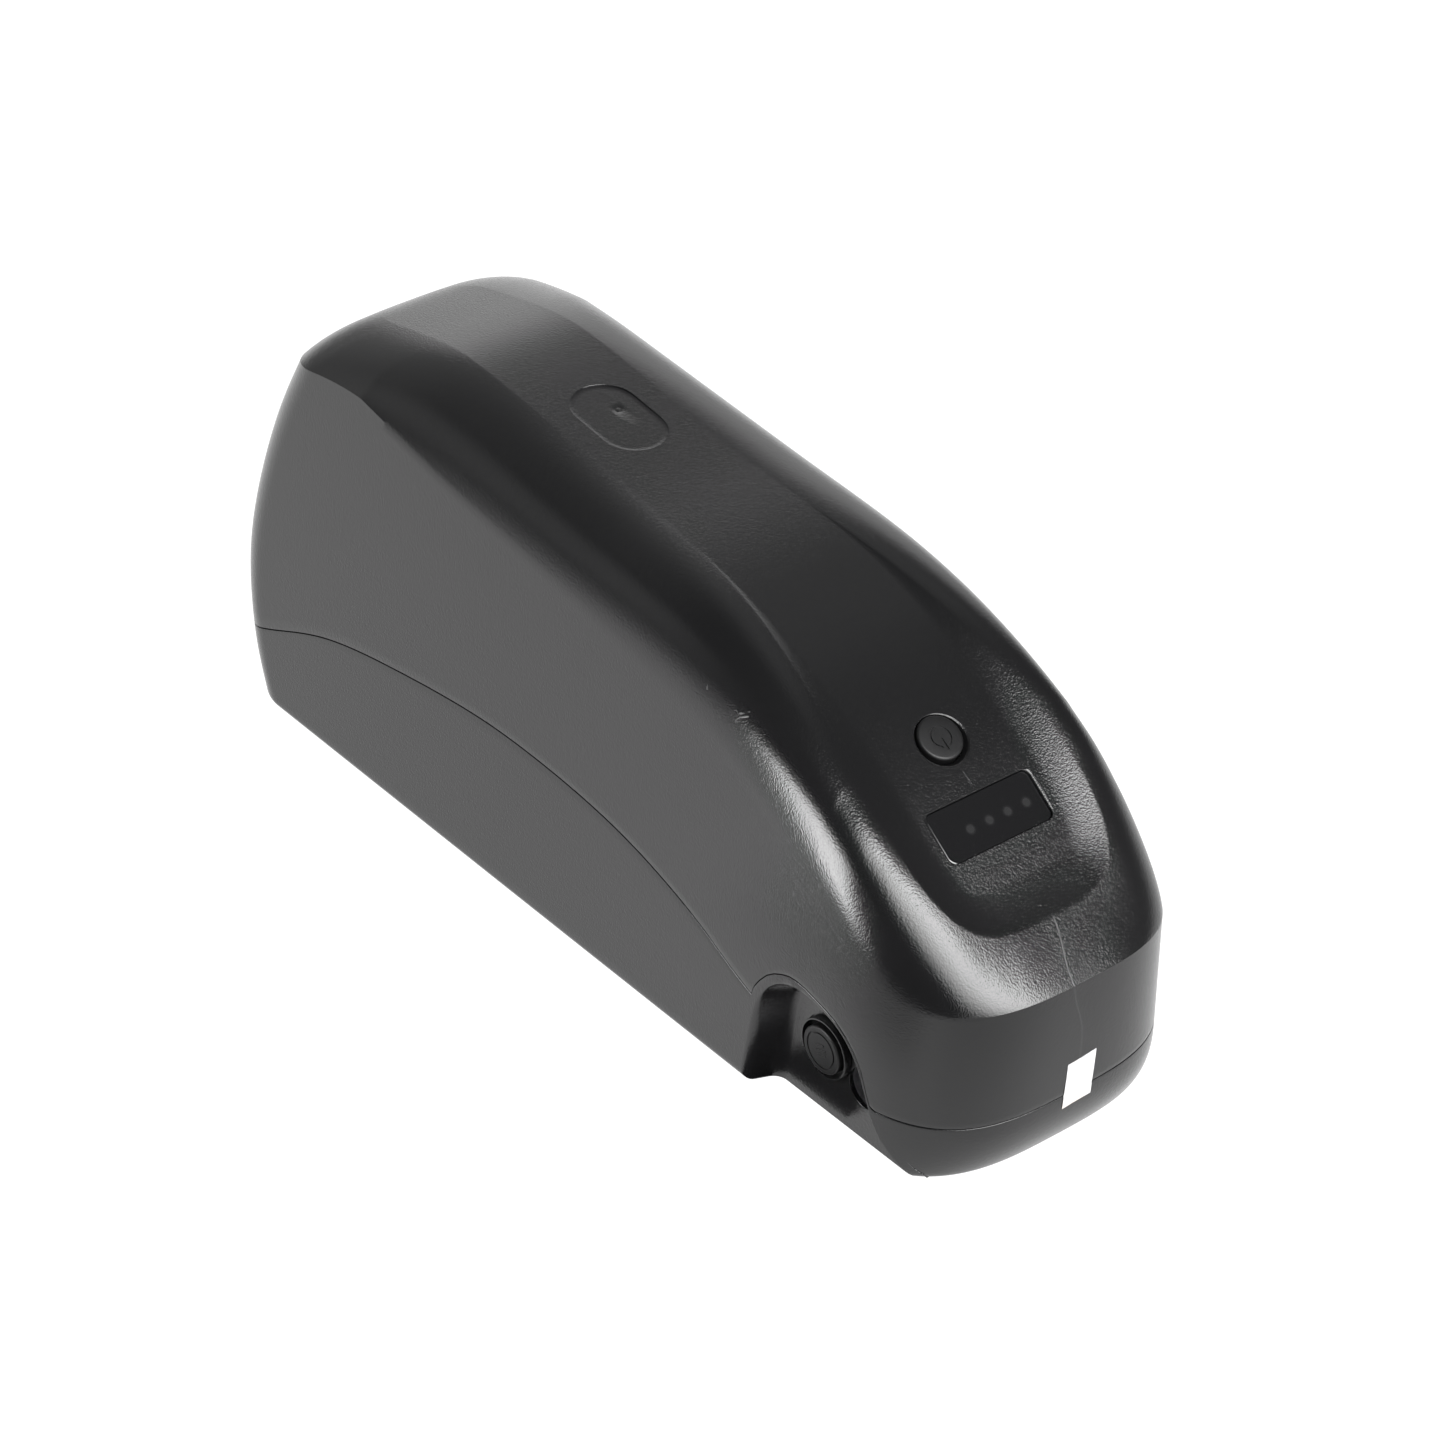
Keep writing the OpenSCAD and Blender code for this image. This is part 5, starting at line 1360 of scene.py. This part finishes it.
def paint_room():
    world = bpy.data.worlds.new("studio")
    bpy.context.scene.world = world
    world.use_nodes = True
    sheet = Sheet(world.node_tree)
    look = sheet.node("TexCoord", out="Generated")
    light = None
    for box in SOFT_BOXES:
        one = soft_box(sheet, look, *box)
        light = one + ROOM_DARK if light is None else light + one
    back = sheet.node("Background", None, {"Strength": light})
    sheet.node("OutputWorld", None, {"Surface": back})


paint_room()
print("soft boxes:", len(SOFT_BOXES))

# %% [markdown]
# Photographers also use cards. A flag beside the front of the case is black, except for a bright
# leaning panel that draws the streak on the shoulder. A grey card further off stands for the dim
# end of the room. A black patch on the paper under the notch is painted shadow, and two soft
# patches where the paper glows less paint the shade beside the flag and in front of the nose.
# They are hidden from the camera, but the case mirrors them.

# %% Cards round the case


def card(name, place, width, height, facing, level, panel=None, soft=0.0):
    """A card that the camera doesn't see, facing along an azimuth, or upwards. It glows evenly,
    or only where the panel is: left edge, foot and top, then the right edge at foot and top. A
    soft one lies on the paper and paints shade on it: it glows at level inside and is as bright
    as the paper round its rim."""
    bpy.ops.object.select_all(action="DESELECT")
    turn = direction(facing, 0) if facing is not None else Vector((0, 0, 1))
    bpy.ops.mesh.primitive_plane_add(size=1, location=place, rotation=turn.to_track_quat("Z", "Y").to_euler())
    made = bpy.context.object
    made.name = name
    made.scale = (width, height, 1)
    bpy.ops.object.transform_apply(location=True, rotation=True, scale=True)
    material = bpy.data.materials.new(name)
    material.use_nodes = True
    sheet = Sheet(material.node_tree)
    fibre = sheet.noise(sheet.place(), 30.0, 2.0)
    glow = (1, 1, 1, 1)
    if soft:
        x, y, _z = sheet.axes(sheet.place())
        shade = sheet.step(abs(x - place[0]), width / 2, width / 2 - soft)
        shade = shade * sheet.step(abs(y - place[1]), height / 2, height / 2 - soft)
        glow = sheet.mix(shade, (PAPER_GLOW,) * 3, (level,) * 3)
    if panel:
        left, foot, top, low_right, high_right = panel
        x, _y, z = sheet.axes(sheet.place())
        right = (z - foot) * ((high_right - low_right) / (top - foot)) + low_right
        edge = 0.006
        lit = sheet.step(x, left - edge, left + edge) * sheet.step(x - right, edge, -edge)
        lit = lit * sheet.step(z, foot - 0.005, foot + 0.008) * sheet.step(z, top + 0.008, top - 0.008)
        glow = sheet.mix(lit, (0,) * 3, (1,) * 3)
    sheet.surface(sheet.mix(fibre, (0.004,) * 3, (0.006,) * 3), 0.9, Specular_IOR_Level=0.0,
                  Emission_Color=glow, Emission_Strength=1.0 if soft else level)
    made.data.materials.append(material)
    made.visible_camera = False
    return made


flag = card("black_flag", (0.150, -0.140, 0.070), 0.276, 0.140, 90, 14.5, (0.027, 0.012, 0.100, 0.064, 0.106))
far_card = card("far_card", (-0.20, -0.400, 0.060), 0.60, 0.120, 90, 0.55)
# painted shadow: a black patch on the paper under the notch
painted_notch_shadow = card("painted_notch_shadow", (0.091, -0.0475, 0.0003), 0.028, 0.018, None, 0.0)
# painted shade on the paper: soft patches that glow less than the paper, beside the flag and in front of the
# nose
shade = card("shade_by_flag", (0.085, -0.112, 0.0002), 0.150, 0.054, None, 0.20, soft=0.034)
nose_shade = card("shade_by_nose", (0.270, 0.010, 0.0002), 0.230, 0.320, None, 0.86, soft=0.050)
print("cards:", flag.name, far_card.name, painted_notch_shadow.name, shade.name, nose_shade.name)
